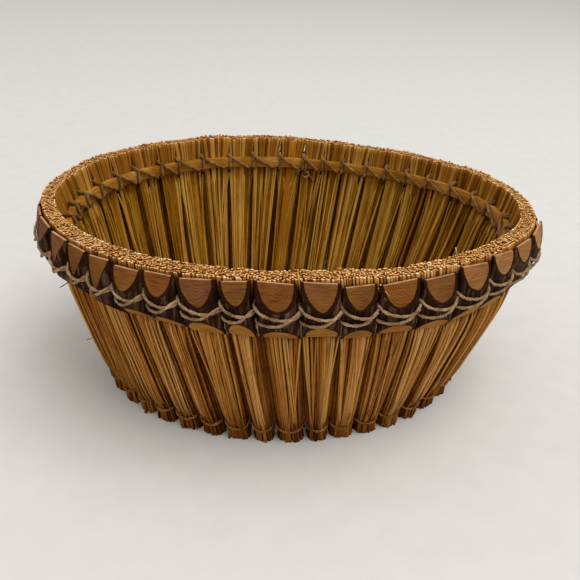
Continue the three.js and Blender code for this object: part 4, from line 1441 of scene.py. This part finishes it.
class BasketSizes(bpy.types.PropertyGroup):
    stalk_width: length_setting("Stalk Width", "Mean thickness of a round stalk", 1.27)
    rim_cord: length_setting("Rim Twine", "Thickness of the twine that lashes the rim", 1.65)
    rim_lay: length_setting("Rim Twine Lay", "Length of one twist of the rim twine", 10.0)
    foot_cord: length_setting("Foot Cord", "Thickness of the cord round the foot", 1.85)
    foot_lay: length_setting("Foot Cord Lay", "Length of one twist of the foot cord", 5.5)


class BasketColours(bpy.types.PropertyGroup):
    __annotations__ = {label: colour_setting(label, *row) for label, row in COLOURS.items()}


class BASKET_OT_stage(bpy.types.Operator):
    """Make the floor, the soft lamp and the photograph's camera"""
    bl_idname = "basket.stage"
    bl_label = "Stage"

    def execute(self, context):
        build_camera()
        build_floor(context.scene.basket_colours)
        build_world()
        build_lamp()
        return {"FINISHED"}


class BASKET_OT_stalks(bpy.types.Operator):
    """Make the stalk bundles of the wall, one piece for each run of bundles"""
    bl_idname = "basket.stalks"
    bl_label = "Stalk Bundles"

    def execute(self, context):
        colours = context.scene.basket_colours
        materials = [stalk_skin(colours), cut_end(colours)]
        for run in range(BUNDLE_COUNT // BUNDLES_PER_RUN):
            build_run(run, context.scene.basket_sizes, materials)
        return {"FINISHED"}


class BASKET_OT_slips(bpy.types.Operator):
    """Make the half-round wood slips on the outside of the rim"""
    bl_idname = "basket.slips"
    bl_label = "Wood Slips"

    def execute(self, context):
        colours = context.scene.basket_colours
        materials = [
            bark(colours),
            sawn_wood(colours, "slip_face", FACE_HUES, 8, 0.14),
            sawn_wood(colours, "slip_top", TOP_HUES, 8, 0.05),
            sawn_wood(colours, "slip_foot", FOOT_HUES, 6, 0.03),
        ]
        for index in range(BUNDLE_COUNT):
            build_slip(index, materials)
        return {"FINISHED"}


class BASKET_OT_hoops(bpy.types.Operator):
    """Make the cane hoops inside the rim and the foot, and the stays of the floor"""
    bl_idname = "basket.hoops"
    bl_label = "Hoops and Stays"

    def execute(self, context):
        cane = split_cane(context.scene.basket_colours)
        build_hoop("rim_cane", "rim_hoop", HOOP_Z, HOOP_HEIGHT, HOOP_THICKNESS, HOOP_GAP, cane, 1)
        build_hoop("floor_cane", "floor_hoop", TIE_HEIGHT, FLOOR_HOOP_HEIGHT,
                   FLOOR_HOOP_THICKNESS, FLOOR_CLEARANCE, cane, 2)
        for number in range(STAY_COUNT):
            build_stay(number, cane)
        return {"FINISHED"}


class BASKET_OT_floor(bpy.types.Operator):
    """Make the woven floor"""
    bl_idname = "basket.floor"
    bl_label = "Woven Floor"

    def execute(self, context):
        build_mat(mat_strip(context.scene.basket_colours))
        return {"FINISHED"}


class BASKET_OT_rim_lashing(bpy.types.Operator):
    """Make the twine that lashes the slips and bundles to the hoop, and its knot"""
    bl_idname = "basket.rim_lashing"
    bl_label = "Rim Lashing"

    def execute(self, context):
        sizes = context.scene.basket_sizes
        twine = spun_cord(context.scene.basket_colours, "rim_twine", "twine", 0.85)
        diameter, lay = sizes.rim_cord / MM, sizes.rim_lay / MM
        build_cord("rim_twine", rim_lashing_points(diameter), PATH_STEP, diameter, lay, twine,
                   "rim_lashing", "twine")
        build_cord("rim_twine_knot", knot_points(diameter * LOOSE_TWINE), KNOT_PATH_STEP,
                   diameter * KNOT_WIDTH, lay, twine, "rim_lashing", "twine")
        return {"FINISHED"}


class BASKET_OT_foot_lashing(bpy.types.Operator):
    """Make the dark cord that ties the bundles to the foot hoop"""
    bl_idname = "basket.foot_lashing"
    bl_label = "Foot Lashing"

    def execute(self, context):
        sizes = context.scene.basket_sizes
        cord = spun_cord(context.scene.basket_colours, "foot_cord", "foot", 0.8)
        diameter = sizes.foot_cord / MM
        turns = foot_lashing_points(diameter, True)[::-1] + foot_lashing_points(diameter, False)
        build_cord("foot_twine", turns, PATH_STEP, diameter, sizes.foot_lay / MM, cord,
                   "foot_lashing", "foot_cord")
        return {"FINISHED"}


class BASKET_PT_pieces(bpy.types.Panel):
    bl_label = "Oval Basket"
    bl_space_type = "VIEW_3D"
    bl_region_type = "UI"
    bl_category = "Basket"

    def draw(self, context):
        for operator in OPERATORS:
            self.layout.operator(operator.bl_idname)
        for settings in (context.scene.basket_sizes, context.scene.basket_colours):
            column = self.layout.column()
            for label in settings.__annotations__:
                column.prop(settings, label)


OPERATORS = (
    BASKET_OT_stage,
    BASKET_OT_stalks,
    BASKET_OT_slips,
    BASKET_OT_hoops,
    BASKET_OT_floor,
    BASKET_OT_rim_lashing,
    BASKET_OT_foot_lashing,
)
CLASSES = (BasketSizes, BasketColours, *OPERATORS, BASKET_PT_pieces)


def register():
    for cls in CLASSES:
        bpy.utils.register_class(cls)
    bpy.types.Scene.basket_sizes = bpy.props.PointerProperty(type=BasketSizes)
    bpy.types.Scene.basket_colours = bpy.props.PointerProperty(type=BasketColours)


def unregister():
    del bpy.types.Scene.basket_colours
    del bpy.types.Scene.basket_sizes
    for cls in reversed(CLASSES):
        bpy.utils.unregister_class(cls)


def main():
    register()
    bpy.ops.basket.stage()
    bpy.ops.basket.stalks()
    bpy.ops.basket.slips()
    bpy.ops.basket.hoops()
    bpy.ops.basket.floor()
    bpy.ops.basket.rim_lashing()
    bpy.ops.basket.foot_lashing()


if __name__ == "__main__":
    main()
